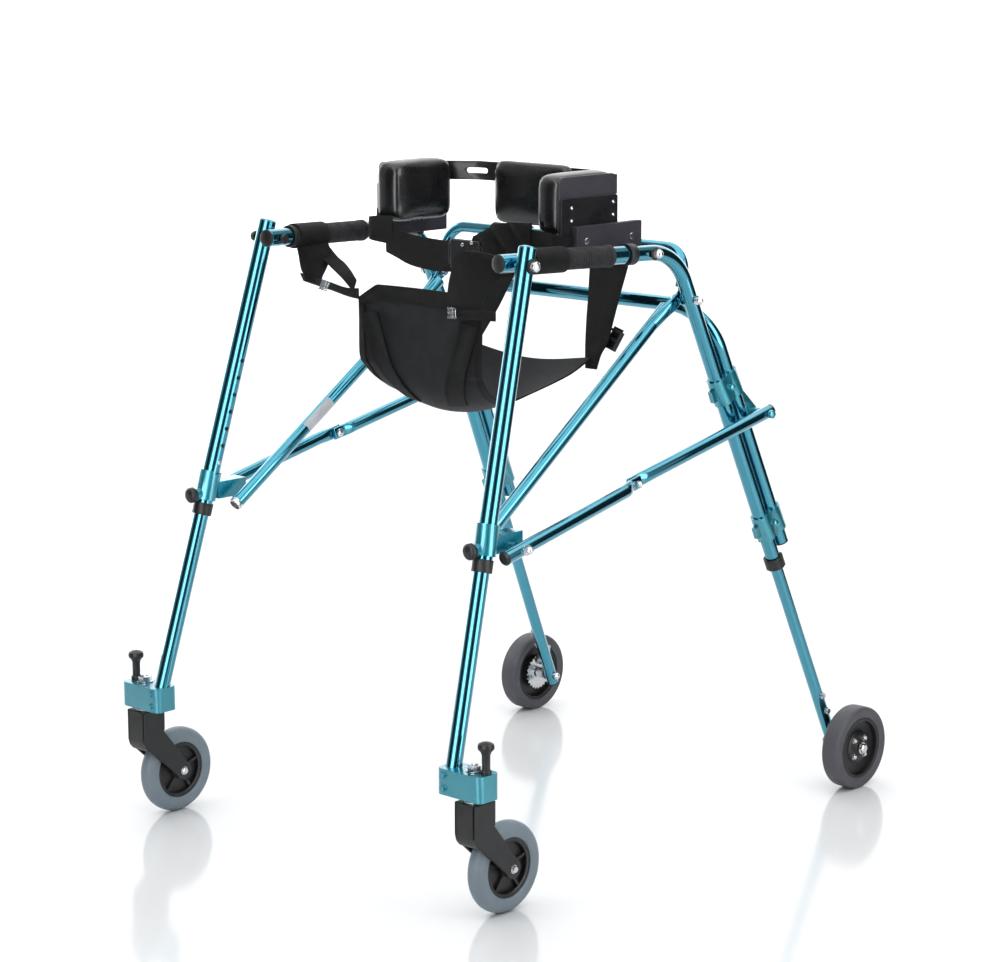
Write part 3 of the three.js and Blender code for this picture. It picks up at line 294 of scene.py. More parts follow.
def woven_surface(name, colour, pitch, roughness, rib=0.0):
    """Nylon cloth or webbing: a weave on the piece's own flat coordinates, sheen and lint."""
    gloss = {"Sheen_Weight": 0.02, "Sheen_Roughness": 0.4, "Specular_IOR_Level": 0.15}
    made = Surface(name, colour, roughness, **gloss)
    flat = made.coords("UV")
    vector = made.coords()
    weave = weave_height(made, flat, pitch)
    shade = made.math("ADD", made.math("MULTIPLY", weave, 0.25), made.noise(vector, 60.0, 5.0))
    pale = tuple(value * 2.0 + 0.002 for value in colour)
    made.colour(made.blend(shade, colour, pale))
    made.bump(weave, 0.00035, 0.5)
    if rib:
        parts = made.node("ShaderNodeSeparateXYZ", Vector=flat)
        ribs = made.math("SINE", made.math("MULTIPLY", parts.outputs["X"], 2 * math.pi / (rib * MM)))
        made.bump(ribs, 0.0002, 0.4)
    made.bump(made.noise(vector, 45.0, 3.0), 0.0012, 0.3)
    return made.material


MATERIALS = {
    "blue_tube": tube_surface("dipped_blue", (0.022, 0.30, 0.42), 0.12, 1.0),
    "blue_cast": tube_surface("satin_blue", (0.022, 0.33, 0.43), 0.32, 0.7),
    "black_plastic": plastic_surface("moulded_black", (0.006, 0.006, 0.007), 0.4),
    "black_metal": plastic_surface("painted_black", (0.010, 0.010, 0.012), 0.3, 900.0),
    "bright_steel": steel_surface("bright_steel", (0.74, 0.74, 0.76), 0.2),
    "grip_foam": rubber_surface("grip_rubber", (0.010, 0.010, 0.012), 0.62),
    "caster_rubber": rubber_surface("grey_rubber", (0.20, 0.25, 0.29), 0.5),
    "rear_rubber": rubber_surface("dark_rubber", (0.085, 0.085, 0.098), 0.55),
    "vinyl": vinyl_surface(),
    "webbing": woven_surface("webbing", (0.0035, 0.0035, 0.004), 1.1, 0.6, 2.2),
    "sling_cloth": woven_surface("sling_cloth", (0.0045, 0.0048, 0.006), 0.8, 0.5),
    "mount_grey": plastic_surface("mount_plate", (0.030, 0.027, 0.038), 0.46, 700.0),
    "sticker": plastic_surface("blank_sticker", (0.55, 0.57, 0.6), 0.3, 300.0),
}
SLOT_OF = {"blue_cast": "blue_tube", "mount_grey": "black_plastic", "sticker": "bright_steel"}


# ------------------------------------------------------------------ making pieces

def add_piece(name, verts, faces, body, look, flat=None, angle=35):
    """A mesh object from points in millimetres, riding on a body."""
    mesh = bpy.data.meshes.new(name)
    mesh.from_pydata([Vector(v) * MM for v in verts], [], faces)
    if flat:
        layer = mesh.uv_layers.new(name="flat")
        for loop in mesh.loops:
            u, v = flat[loop.vertex_index]
            layer.data[loop.index].uv = (u * MM, v * MM)
    fix = bmesh.new()
    fix.from_mesh(mesh)
    bmesh.ops.recalc_face_normals(fix, faces=fix.faces)
    fix.to_mesh(mesh)
    fix.free()
    mesh.shade_smooth()
    mesh.set_sharp_from_angle(angle=math.radians(angle))
    piece = bpy.data.objects.new(name, mesh)
    bpy.context.scene.collection.objects.link(piece)
    mesh.materials.append(MATERIALS[look])
    SLOT_OF.get(look, look)
    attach(piece, body)
    return piece


def add_bevel(piece, width, segments=3, angle=40):
    made = piece.modifiers.new("edges", "BEVEL")
    made.width = width * MM
    made.segments = segments
    made.limit_method = "ANGLE"
    made.angle_limit = math.radians(angle)
    made.harden_normals = True
    return piece


def skin(rings, loop=False, caps=True):
    """Quads between successive closed rings of equal length."""
    count = len(rings[0])
    verts = [point for ring in rings for point in ring]
    faces = []
    last = len(rings) if loop else len(rings) - 1
    for i in range(last):
        a = i * count
        b = ((i + 1) % len(rings)) * count
        for j in range(count):
            k = (j + 1) % count
            faces.append((a + j, a + k, b + k, b + j))
    if caps and not loop:
        faces.append(tuple(range(count)))
        faces.append(tuple((len(rings) - 1) * count + j for j in range(count)))
    return verts, faces


def merged(*parts):
    verts = []
    faces = []
    for part_verts, part_faces in parts:
        start = len(verts)
        verts.extend(part_verts)
        faces.extend(tuple(i + start for i in face) for face in part_faces)
    return verts, faces


def stations(corners, bend=0.0, steps=20):
    """Points and directions along straight runs joined by round bends."""
    corners = [Vector(c) for c in corners]
    runs = [(b - a).normalized() for a, b in zip(corners, corners[1:])]
    made = [(corners[0], runs[0])]
    for corner, into, out in zip(corners[1:], runs, runs[1:]):
        turn = into.angle(out)
        start = corner - into * bend * math.tan(turn / 2)
        side = (out - into * out.dot(into)).normalized()
        for k in range(steps + 1):
            angle = turn * k / steps
            point = start + into * bend * math.sin(angle) + side * bend * (1 - math.cos(angle))
            made.append((point, into * math.cos(angle) + side * math.sin(angle)))
    made.append((corners[-1], runs[-1]))
    return made


def circle(radius, count=40):
    return [
        (radius * math.cos(2 * math.pi * k / count), radius * math.sin(2 * math.pi * k / count))
        for k in range(count)
    ]


def swept(path, sections):
    """Rings along a path, one section per station, without twist."""
    first = path[0][1]
    normal = Vector((0, 0, 1)) if abs(first.z) < 0.9 else Vector((0, 1, 0))
    rings = []
    for (point, tangent), section in zip(path, sections):
        normal = (normal - tangent * normal.dot(tangent)).normalized()
        side = tangent.cross(normal)
        rings.append([point + side * u + normal * v for u, v in section])
    return rings


def round_tube(path, radius, bore, lip=0.5):
    """A hollow round tube with eased rims."""
    def ring_row(r, shift_first=0.0, shift_last=0.0):
        moved = list(path)
        moved[0] = (path[0][0] + path[0][1] * shift_first, path[0][1])
        moved[-1] = (path[-1][0] - path[-1][1] * shift_last, path[-1][1])
        return swept(moved, [circle(r)] * len(path))

    outer = ring_row(radius, lip, lip)
    rim = ring_row(radius - lip)
    inner = ring_row(bore)
    rings = [rim[0], *outer, rim[-1], *reversed(inner)]
    return skin(rings, loop=True)


def round_rod(start, end, radius, ease=0.6):
    axis = (end - start).normalized()
    path = [(start, axis), (start + axis * ease, axis), (end - axis * ease, axis), (end, axis)]
    sections = [circle(radius - ease), circle(radius), circle(radius), circle(radius - ease)]
    return skin(swept(path, sections))


def turned(profile, start, direction, count=48):
    """A turned solid: profile points are (radius, distance along the axis)."""
    direction = Vector(direction).normalized()
    path = [(start + direction * distance, direction) for _, distance in profile]
    sections = [circle(max(radius, 0.01), count) for radius, _ in profile]
    return skin(swept(path, sections))


def turned_ring(profile, start, direction, count=64):
    """A turned ring: its profile is a closed loop that stays off the axis."""
    direction = Vector(direction).normalized()
    path = [(start + direction * distance, direction) for _, distance in profile]
    return skin(swept(path, [circle(radius, count) for radius, _ in profile]), loop=True)


def plate(outline, x0, x1):
    """A flat outline of (y, z) points, given thickness along X."""
    rings = [[Vector((x, y, z)) for y, z in outline] for x in (x0, x1)]
    return skin(rings)


def arc(centre, radius, start, end, steps=16):
    """Points of an arc in the (y, z) plane, angles in degrees from +Y."""
    made = []
    for k in range(steps + 1):
        angle = math.radians(start + (end - start) * k / steps)
        made.append((centre[0] + radius * math.cos(angle), centre[1] + radius * math.sin(angle)))
    return made


def block(x, y, z):
    low = [Vector((a, b, z[0])) for a, b in ((x[0], y[0]), (x[1], y[0]), (x[1], y[1]), (x[0], y[1]))]
    high = [Vector((p.x, p.y, z[1])) for p in low]
    return skin([low, high])


def side_x(side, a, b):
    return (a, b) if side > 0 else (-b, -a)


def hex_bolt(at, direction, across=11.0, height=5.0):
    """A hexagon head with a chamfered top and a round washer face under it."""
    direction = Vector(direction).normalized()
    radius = across / math.sqrt(3)
    washer = turned([(across * 0.66, 0), (across * 0.68, 0.4), (across * 0.68, 1.0)], at, direction)
    start = at + direction * 1.0
    path = [(start + direction * rise, direction) for rise in (0, height - 0.9, height)]
    head = skin(swept(path, [circle(radius, 6), circle(radius, 6), circle(radius * 0.82, 6)]))
    return merged(washer, head)


def dome_nut(at, direction, radius=6.5):
    """An acorn nut: hexagon foot under a polished dome."""
    direction = Vector(direction).normalized()
    foot = radius * 0.75
    path = [(at, direction), (at + direction * foot, direction)]
    hexagon = skin(swept(path, [circle(radius, 6), circle(radius, 6)]))
    profile = [(radius * 0.84, foot - 0.3)]
    for k in range(9):
        angle = math.radians(90 * k / 8)
        profile.append((radius * 0.84 * math.cos(angle), foot + radius * 0.8 * math.sin(angle)))
    return merged(hexagon, turned(profile, at, direction))


def screw(at, direction, radius=3.2):
    """A small pan-head screw or rivet head."""
    direction = Vector(direction).normalized()
    profile = [(radius, 0), (radius, 0.7), (radius * 0.8, 1.5), (radius * 0.35, 1.9), (0, 2.0)]
    return turned(profile, at, direction, 24)


def slotted_screw(at, direction, radius):
    """A cheese-head screw made of two half discs with a slot between them."""
    direction = Vector(direction).normalized()
    halves = []
    for turn in (0, 180):
        outline = [(radius * math.cos(math.radians(a)), radius * math.sin(math.radians(a)))
                   for a in range(turn + 10, turn + 171, 16)]
        rings = []
        for lift, share in ((0.0, 1.0), (1.8, 1.0), (2.3, 0.9)):
            rings.append([at + direction * lift + Vector((0, u * share, v * share)) for u, v in outline])
        halves.append(skin(rings))
    return merged(*halves)


# ------------------------------------------------------------------ frame tubes

def blue(name, geometry, body, *nodes, look="blue_tube"):
    piece = add_piece(name, *geometry, body, look)
    if nodes:
        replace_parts(piece, *nodes)
    return piece


def side_tube(label, side):
    front, back = (handle_at(side, y) for y in HANDLE_Y)
    corners = [mirrored(side, HANDLE_FRONT), mirrored(side, HANDLE_CORNER), rear_leg_at(side, REAR_LEG_END_Z)]
    tube = round_tube(stations(corners, 76, 28), SIDE_R, REAR_EXT_R + 0.5)
    blue(f"side_rail_{label}", merged(tube, round_rod(front, back, LEG_R)), "frame", f"side_tube_{label}")
    plug = turned([(11.4, -0.4), (12.4, 0.4), (12.4, 2.2), (9.0, 3.6), (0, 4.2)], front, front - back)
    add_piece(f"handle_plug_{label}", *plug, "frame", "black_plastic")
    out = (side, 0, 0)
    bolt = merged(
        round_rod(at_x(side, 228, STAY_PIVOT), at_x(side, 270, STAY_PIVOT), 3.8),
        dome_nut(at_x(side, 271.5, STAY_PIVOT), out),
        turned([(7, 0), (7, 1.4)], at_x(side, 270, STAY_PIVOT), out),
        turned([(0, 0), (5.5, 0.8), (6.6, 2.6), (6.6, 4.4)], at_x(side, 227, STAY_PIVOT), out),
    )
    add_piece(f"stay_bolt_{label}", *bolt, "frame", "bright_steel")


def rear_u_frame():
    corners = [behind_rear_leg(1, HOOP["end_z"]), behind_rear_leg(1, HOOP["bar_z"])]
    corners += [mirrored(-1, point) for point in reversed(corners)]
    tube = round_tube(stations(corners, HOOP["bend"], 28), SIDE_R, SIDE_R - WALL)
    blue("rear_hoop", tube, "frame", "rear_u_frame")
    for label, side in SIDES.items():
        at = behind_rear_leg(side, HOOP["end_z"])
        axis = at - behind_rear_leg(side, HOOP["end_z"] + 24)
        plug = turned([(10.2, -1), (11.0, 0.1), (11.0, 1.6), (8.5, 3.0), (0, 3.4)], at, axis)
        add_piece(f"hoop_plug_{label}", *plug, "frame", "black_plastic")


def upper_rear_bar():
    foot_y, foot_z = TOP_BAR_FOOT
    half, y, z = TOP_BAR["half"], TOP_BAR["y"], TOP_BAR["z"]
    corners = [(half, foot_y, foot_z), (half, y, z), (-half, y, z), (-half, foot_y, foot_z)]
    bar = round_tube(stations(corners, TOP_BAR["bend"], 18), TOP_BAR_R, TOP_BAR_R - WALL)
    outline = arc(STAY_PIVOT, TOP_BAR_R, 180, 360, 20)
    outline += [(foot_y + TOP_BAR_R, foot_z + 8), (foot_y - TOP_BAR_R, foot_z + 8)]
    eyes = [plate(outline, *side_x(side, *EYE_X)) for side in SIDES.values()]
    add_bevel(blue("top_bar", merged(bar, *eyes), "frame", "upper_rear_bar"), 0.5, 2, 50)


def front_leg(label, side):
    body = f"front_leg_{label}"
    bottom, top = FRONT_LEG_Z
    path = stations([front_leg_at(side, bottom), front_leg_at(side, top)])
    blue(f"leg_tube_{label}", round_tube(path, LEG_R, FRONT_EXT_R + 0.3), body, f"front_leg_{label}")
    axis = front_leg_at(side, top) - front_leg_at(side, bottom)
    cap = turned([(11.2, -1.5), (12.3, 0), (12.3, 1.0), (9.5, 2.6), (0, 3.0)], front_leg_at(side, top), axis)
    add_piece(f"leg_cap_{label}", *cap, body, "blue_cast")
    rise = HOLE_PITCH / math.hypot(1, FRONT_LEG["splay"], FRONT_LEG["rake"])
    inward = Vector((-side, 0, 0))
    holes = []
    for i in range(1, HOLE_COUNT + 1):
        at = front_leg_at(side, BUTTON_Z + i * rise) + inward * (LEG_R - 0.25)
        holes.append(turned([(3.3, 0), (3.3, 0.42), (0, 0.44)], at, inward, 24))
    add_piece(f"leg_holes_{label}", *merged(*holes), body, "black_metal")
    at = front_leg_at(side, BUTTON_Z) + inward * (LEG_R - 1)
    button = turned([(2.9, 0), (2.9, 2.0), (2.2, 2.7), (0, 3.0)], at, inward, 24)
    add_piece(f"leg_button_{label}", *button, body, "bright_steel")


def front_extension(label, side):
    path = stations([front_leg_at(side, z) for z in FRONT_EXT_Z])
    tube = round_tube(path, FRONT_EXT_R, FRONT_EXT_R - WALL)
    blue(f"inner_leg_{label}", tube, f"front_extension_{label}", f"front_extension_{label}")


def rear_extension(label, side):
    body = f"rear_extension_{label}"
    low, high = (rear_leg_at(side, z) for z in REAR_EXT_Z)
    tube = round_tube(stations([low, high]), REAR_EXT_R, REAR_EXT_R - WALL)
    blue(f"inner_rear_leg_{label}", tube, body, f"rear_extension_{label}")
    axle = (REAR_AXLE[1], WHEEL_R)
    out = Vector((side, 0, 0))
    steel = merged(
        round_rod(at_x(side, 284, axle), at_x(side, 352, axle), 5),
        turned([(9, 0), (9, 18)], at_x(side, 300, axle), out),
        hex_bolt(at_x(side, 349.6, axle), out, 13, 5.0),
        dome_nut(at_x(side, 284, axle), -out, 6.4),
        round_rod(at_x(side, 292, PAWL_POST), at_x(side, 314, PAWL_POST), 3.5),
        *(hex_bolt(rear_leg_at(side, z) + out * 9.2, out, 8, 4.0) for z in RATCHET_BOLT_Z),
    )
    add_piece(f"rear_axle_{label}", *steel, body, "bright_steel")
    plug = turned([(8.8, -1), (9.5, 0.1), (9.5, 1.4), (6, 3.0), (0, 3.4)], low, low - high)
    add_piece(f"rear_leg_plug_{label}", *plug, body, "black_plastic")


# ------------------------------------------------------------------ stays and braces

def flattened(start, end, radius, flat_x, flat_at_start, reach):
    """A round tube whose one end is pressed flat into a tongue centred on flat_x."""
    axis = (end - start).normalized()
    length = (end - start).length
    path = []
    sections = []
    steps = [0, 0.5, 14, 18, 22, 26, 30, reach, length - 0.6, length]
    for distance in steps:
        along = distance if flat_at_start else length - distance
        press = 1.0 - min(1.0, max(0.0, (distance - 14) / (reach - 14)))
        press = press * press * (3 - 2 * press)
        centre = start + axis * along
        centre = Vector((centre.x + (flat_x - centre.x) * press, centre.y, centre.z))
        ease = 0.6 if distance in (0, length) else 0.0
        wide = radius * (1 - 0.02 * press) - ease
        thin = radius * (1 - press) + 3.1 * press - ease
        path.append((centre, axis))
        sections.append((thin, wide))
    if not flat_at_start:
        path.reverse()
        sections.reverse()
    rings = []
    up = Vector((1, 0, 0)).cross(axis).normalized()
    for (centre, _), (thin, wide) in zip(path, sections):
        ring = []
        for u, v in circle(1.0, 40):
            squareness = 1.0 if thin > radius * 0.9 else 0.55
            across = math.copysign(abs(u) ** squareness, u) * thin
            ring.append(centre + Vector((across, 0, 0)) + up * v * wide)
        rings.append(ring)
    return skin(rings)


STAY_X = (226, 240)
STAY_TONGUE_X = 236.5


def diagonal_stay(label, side):
    body = f"stay_{label}"
    top = at_x(side, STAY_X[0], STAY_PIVOT)
    end = at_x(side, STAY_X[1], STAY_END)
    axis = (end - top).normalized()
    tube = round_tube(stations([top + axis * 20, end]), LINK_R, LINK_R - WALL)
    tip = at_x(side, STAY_TONGUE_X, STAY_PIVOT) - axis * LINK_R
    tongue = flattened(tip, top + axis * 60, LINK_R - 0.1, side * STAY_TONGUE_X, True, 46)
    blue(f"stay_tube_{label}", merged(tube, tongue), body, f"diagonal_stay_{label}")
    rim = turned_ring([(9.9, -7), (10.1, -6.6), (10.1, -0.2), (9.6, 0.2), (8.0, 0.2), (8.0, -7)], end, axis)
    add_piece(f"stay_rim_{label}", *rim, body, "bright_steel")
    cap = turned([(8.1, -4), (8.1, -1.2), (0, -1.0)], end, axis)
    add_piece(f"stay_cap_{label}", *cap, body, "black_plastic")
    if side < 0:
        add_sticker(top, axis, body)


def add_sticker(top, axis, body):
    """A blank pale label wrapped half way round the inner face of a stay."""
    up = Vector((1, 0, 0)).cross(axis).normalized()
    rings = []
    for distance in range(300, 363, 3):
        centre = top + axis * distance
        ring = []
        for radius, turns in ((LINK_R + 0.25, range(-70, 71, 10)), (LINK_R + 0.1, range(70, -71, -10))):
            for turn in turns:
                angle = math.radians(turn)
                ring.append(centre + (Vector((1, 0, 0)) * math.cos(angle) + up * math.sin(angle)) * radius)
        rings.append(ring)
    add_piece("blank_sticker", *skin(rings), body, "sticker")


def brace_half(name, side, body, x, pivot, reach, lap_x, cap_profile, cap_at):
    """One half of the lower brace with the cap in its outer end."""
    start = at_x(side, x, pivot)
    knuckle = at_x(side, x, KNUCKLE)
    axis = (knuckle - start).normalized()
    tube = flattened(start - axis * reach, knuckle + axis * LINK_R, LINK_R, side * lap_x, False, 40)
    blue(name[0], tube, body, body)
    cap = turned(cap_profile, start - axis * cap_at, -axis)
    add_piece(name[1], *cap, body, "black_plastic")


def braces(label, side):
    out = Vector((side, 0, 0))
    front = f"brace_front_{label}"
    names = (f"brace_front_tube_{label}", f"brace_cap_{label}")
    cap = [(9.0, -1), (9.9, 0), (9.9, 2), (7.5, 4), (0, 4.6)]
    brace_half(names, side, front, FRONT_LINK_X, BRACE_FRONT_PIVOT, 34, 302.4, cap, 33.4)
    steel = merged(
        dome_nut(at_x(side, 317.2, BRACE_FRONT_PIVOT), out),
        turned([(7.5, 0), (7.5, 1.4)], at_x(side, 316.2, BRACE_FRONT_PIVOT), out),
        round_rod(at_x(side, 297.2, BRACE_FRONT_PIVOT), at_x(side, 316.5, BRACE_FRONT_PIVOT), 4),
        dome_nut(at_x(side, 305.6, KNUCKLE), out, 5),
        round_rod(at_x(side, 289, KNUCKLE), at_x(side, 306, KNUCKLE), 4),
        turned([(0, 0), (5, 0.7), (6.4, 2.0), (6.4, 3.2)], at_x(side, 288.6, KNUCKLE), out),
    )
    add_piece(f"brace_bolts_{label}", *steel, front, "bright_steel")
    names = (f"brace_rear_tube_{label}", f"brace_rear_cap_{label}")
    cap = [(8.6, -1), (9.4, 0), (9.4, 1.6), (7, 3), (0, 3.4)]
    brace_half(names, side, f"brace_rear_{label}", REAR_LINK_X, BRACE_REAR_PIVOT, 12, 295.5, cap, 12)


# ------------------------------------------------------------------ grips and wheels

def handle_grip(label, side):
    """A moulded grip: close rings between two plain collars."""
    start, end = (handle_at(side, y) for y in GRIP_Y)
    length = (end - start).length
    profile = [(13.4, 0), (15.4, 0), (16, 0.8), (16, 6), (15.4, 7)]
    distance = 9.0
    while distance < length - 10:
        profile += [(14.3, distance), (15.3, distance + 0.7), (15.3, distance + 3.0), (14.3, distance + 3.7)]
        distance += 4.6
    profile += [(15.4, length - 7), (16, length - 6), (16, length - 0.8), (15.4, length), (13.4, length)]
    piece = add_piece(f"grip_{label}", *turned_ring(profile, start, end - start), "frame", "grip_foam")
    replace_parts(piece, f"handle_grip_{label}")


def tyre_profile(width, rim, crown):
    """Outline of a tyre section: square-shouldered for a small crown, round for a large one."""
    half = width / 2
    points = [(rim, -half + 1.5), (rim + 3, -half)]
    for k in range(17):
        angle = math.radians(-90 + 180 * k / 16)
        along = half - crown + crown * abs(math.sin(angle))
        radius = WHEEL_R - crown * 0.9 * (1 - math.cos(angle))
        points.append((radius, math.copysign(along, angle) if k != 8 else 0))
    points += [(rim + 3, half), (rim, half - 1.5)]
    return points


def tyre(kind, label, centre, section, rubber):
    body = f"{kind}_wheel_{label}"
    ring = turned_ring(tyre_profile(*section), centre, Vector((1, 0, 0)), 96)
    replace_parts(add_piece(f"{kind}_{label}_tread", *ring, body, rubber), f"{kind}_tyre_{label}")


def wheel_core(kind, label, parts):
    hub = add_piece(f"{kind}_core_{label}", *merged(*parts), f"{kind}_wheel_{label}", "black_plastic")
    add_bevel(hub, 0.5, 2)
    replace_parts(hub, f"{kind}_hub_{label}")


def spoke(centre, angle, inner, outer, thickness, x0, x1):
    """A radial rib of a hub, from one radius to another."""
    out = Vector((0, math.cos(angle), math.sin(angle)))
    side = Vector((0, -out.z, out.y))
    rings = []
    for x in (x0, x1):
        rings.append([
            centre + Vector((x, 0, 0)) + out * r + side * s
            for r, s in ((inner, -thickness), (outer, -thickness), (outer, thickness), (inner, thickness))
        ])
    return skin(rings)


def caster_wheel(label, side):
    centre = at_x(side, CASTER_AXLE[0], (CASTER_AXLE[1], WHEEL_R))
    tyre("caster", label, centre, (25, 42.0, 11.5), "caster_rubber")
    axis = Vector((1, 0, 0))
    rim = [(41.9, -9.5), (41.9, 9.5), (38, 9.5), (36, 8.5), (35.5, 3), (35.5, -3), (36, -8.5), (38, -9.5)]
    web = [(36, -2.2), (36, 2.2), (12, 3), (12, -3)]
    boss = [(13, -11.5), (14, -10.5), (14, 10.5), (13, 11.5), (4.6, 11.5), (4.6, -11.5)]
    parts = [turned_ring(profile, centre, axis) for profile in (rim, web, boss)]
    parts += [spoke(centre, math.radians(72 * k + 18), 13, 36.5, 2.2, -7.5, 7.5) for k in range(5)]
    wheel_core("caster", label, parts)


RATCHET = {"teeth": 24, "tip": 29, "root": 25.5, "inner": 13.8, "outer": 11.6}


def rear_wheel(label, side):
    centre = at_x(side, REAR_AXLE[0], (REAR_AXLE[1], WHEEL_R))
    tyre("rear", label, centre, (30, 47.0, 5.0), "rear_rubber")
    axis = Vector((side, 0, 0))
    rim = [(46.9, -12), (46.9, 13), (44, 13.6), (42, 13), (41, 8), (41, -8), (42, -12)]
    web = [(41.5, -3), (41.5, 6), (30, 4.5), (24, 7), (24, -3)]
    boss = [(25, -6), (25, 8), (23, 9.5), (13, 10.5), (11, 13.6)]
    boss += [(5.6, 13.6), (5.6, -13.6), (12, -13.6), (14, -8)]
    wheel_core("rear", label, [turned_ring(profile, centre, axis) for profile in (rim, web, boss)])
    heads = []
    for k in range(4):
        angle = math.radians(45 + 90 * k)
        at = centre + axis * 9.6 + Vector((0, 18 * math.cos(angle), 18 * math.sin(angle)))
        heads.append(hex_bolt(at, axis, 6.5, 3.0))
    teeth = []
    for k in range(RATCHET["teeth"] * 2):
        angle = math.pi * k / RATCHET["teeth"]
        radius = RATCHET["root"] if k % 2 else RATCHET["tip"]
        teeth.append((REAR_AXLE[1] + radius * math.cos(angle), WHEEL_R + radius * math.sin(angle)))
    ratchet = plate(teeth, *side_x(side, REAR_AXLE[0] - RATCHET["inner"], REAR_AXLE[0] - RATCHET["outer"]))
    add_piece(f"rear_screws_{label}", *merged(*heads, ratchet), f"rear_wheel_{label}", "bright_steel")


def caster_fork(label, side):
    body = f"caster_fork_{label}"
    x, y = side * CASTER_AXLE[0], CASTER_AXLE[1]
    outline = [(-460, CROWN_TOP_Z), (-460, 122), (-458, 114), (y - 13.5, WHEEL_R - 4)]
    outline += arc((y, WHEEL_R), 14, 200, 385, 20)
    outline += [(-421.5, 132), (-420, 138), (-420, CROWN_TOP_Z)]
    arms = [plate(outline, x + a, x + b) for a, b in ((-19, -14), (14, 19))]
    low_edge = [(-460, 122), (-457, 112), (-451, 105), (-440, 112), (-430, 123), (-420, 134)]
    crown = plate([(-460, CROWN_TOP_Z), *low_edge, (-420, CROWN_TOP_Z)], x - 18.9, x + 18.9)
    fork = add_piece(f"fork_{label}", *merged(*arms, crown), body, "black_plastic")
    add_bevel(fork, 1.4, 3)
    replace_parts(fork, f"caster_fork_{label}")
    up = Vector((0, 0, 1))

    def stem(z):
        return Vector((side * CASTER_STEM[0], CASTER_STEM[1], z))

    washers = [(15, 0), (17, 0.6), (17, 1.8), (15.5, 2.2), (14, 2.4), (14, 4.4)]
    steel = merged(
        turned(washers, stem(CROWN_TOP_Z), up),
        round_rod(stem(160), stem(216), 6),
        hex_bolt(stem(208.4), up, 18, 8),
        round_rod(stem(208), stem(219), 5),
        round_rod(Vector((x - 20, y, WHEEL_R)), Vector((x + 20, y, WHEEL_R)), 4),
        hex_bolt(Vector((x + 18.6, y, WHEEL_R)), (1, 0, 0), 9, 3.4),
        hex_bolt(Vector((x - 18.6, y, WHEEL_R)), (-1, 0, 0), 9, 3.4),
    )
    add_piece(f"fork_bolts_{label}", *steel, body, "bright_steel")


def swivel_lock(label, side):
    """The lock's plunger: a barrel under a flared black head, and the pin below it."""
    body = f"swivel_lock_{label}"
    base = at_x(side, LOCK_X, (CASTER_STEM[1], 208.4))
    up = Vector((0, 0, 1))
    barrel = turned([(7.6, 0), (7.6, 4), (6.8, 5)], base, up)
    stalk = [(5.6, 5), (5.8, 25), (7.5, 30)]
    head = [(10.6, 33), (11.2, 34.5), (11.2, 38), (10.2, 40.5), (6, 42.6), (0, 43.4)]
    knob = turned(stalk + head, base, up)
    piece = add_piece(f"lock_knob_{label}", *merged(barrel, knob), body, "black_plastic")
    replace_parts(piece, f"swivel_lock_pin_{label}")
    pin = round_rod(*(at_x(side, LOCK_X, (CASTER_STEM[1], z)) for z in (174, 209)), 4)
    add_piece(f"lock_pin_{label}", *pin, body, "bright_steel")


# ------------------------------------------------------------------ straps and cloth

def smooth_rows(rows, steps=8):
    """Catmull-Rom rows between the given ones; each row is a tuple of vectors."""
    made = []
    for i in range(len(rows) - 1):
        before = rows[max(i - 1, 0)]
        after = rows[min(i + 2, len(rows) - 1)]
        for k in range(steps):
            t = k / steps
            around = zip(before, rows[i], rows[i + 1], after)
            made.append(tuple(spline(p, a, b, n, t) for p, a, b, n in around))
    made.append(rows[-1])
    return made


def spline(p, a, b, n, t):
    """The point at share t between a and b, with p before them and n after them."""
    square = 2 * p - 5 * a + 4 * b - n
    cube = 3 * a - p - 3 * b + n
    return 0.5 * (2 * a + (b - p) * t + square * t * t + cube * t ** 3)


def ribbon(rows, thickness, steps=8, across=6):
    """A strap through rows of (left edge, right edge); returns geometry and its flat coordinates."""
    rows = smooth_rows([(Vector(a), Vector(b)) for a, b in rows], steps)
    rings = []
    flat = []
    travelled = 0.0
    for i, (a, b) in enumerate(rows):
        middle = (a + b) / 2
        before = rows[max(i - 1, 0)]
        after = rows[min(i + 1, len(rows) - 1)]
        tangent = (after[0] + after[1] - before[0] - before[1]).normalized()
        side = (b - a).normalized()
        normal = side.cross(tangent).normalized()
        if i:
            travelled += (middle - (before[0] + before[1]) / 2).length
        half = (b - a).length / 2
        ring = []
        for layer, order in ((0.5, range(across + 1)), (-0.5, reversed(range(across + 1)))):
            for k in order:
                share = 2 * k / across - 1
                edge = 0.55 if abs(share) == 1 else 1.0
                ring.append(middle + side * half * share + normal * layer * thickness * edge)
                flat.append((half * share, travelled))
        rings.append(ring)
    verts, faces = skin(rings)
    return verts, faces, flat


def joined_flat(*parts):
    verts, faces = merged(*((v, f) for v, f, _ in parts))
    return verts, faces, [uv for _, _, flat in parts for uv in flat]


def strap(name, body, rows, thickness=2.2, look="webbing"):
    verts, faces, flat = ribbon(rows, thickness)
    return add_piece(name, verts, faces, body, look, flat, 60)


# ------------------------------------------------------------------ upholstery

def rounded_outline(u, v, corner, steps=8):
    """Corner-rounded rectangle as a list of (u, v) points."""
    made = []
    centres = [(u[1] - corner, v[0] + corner, -90), (u[1] - corner, v[1] - corner, 0),
               (u[0] + corner, v[1] - corner, 90), (u[0] + corner, v[0] + corner, 180)]
    for cu, cv, start in centres:
        made += arc((cu, cv), corner, start, start + 90, steps)
    return made


def evaluated_mesh(piece):
    """The mesh of a piece with its modifiers worked in."""
    bpy.context.view_layer.update()
    graph = bpy.context.evaluated_depsgraph_get()
    return bpy.data.meshes.new_from_object(piece.evaluated_get(graph))


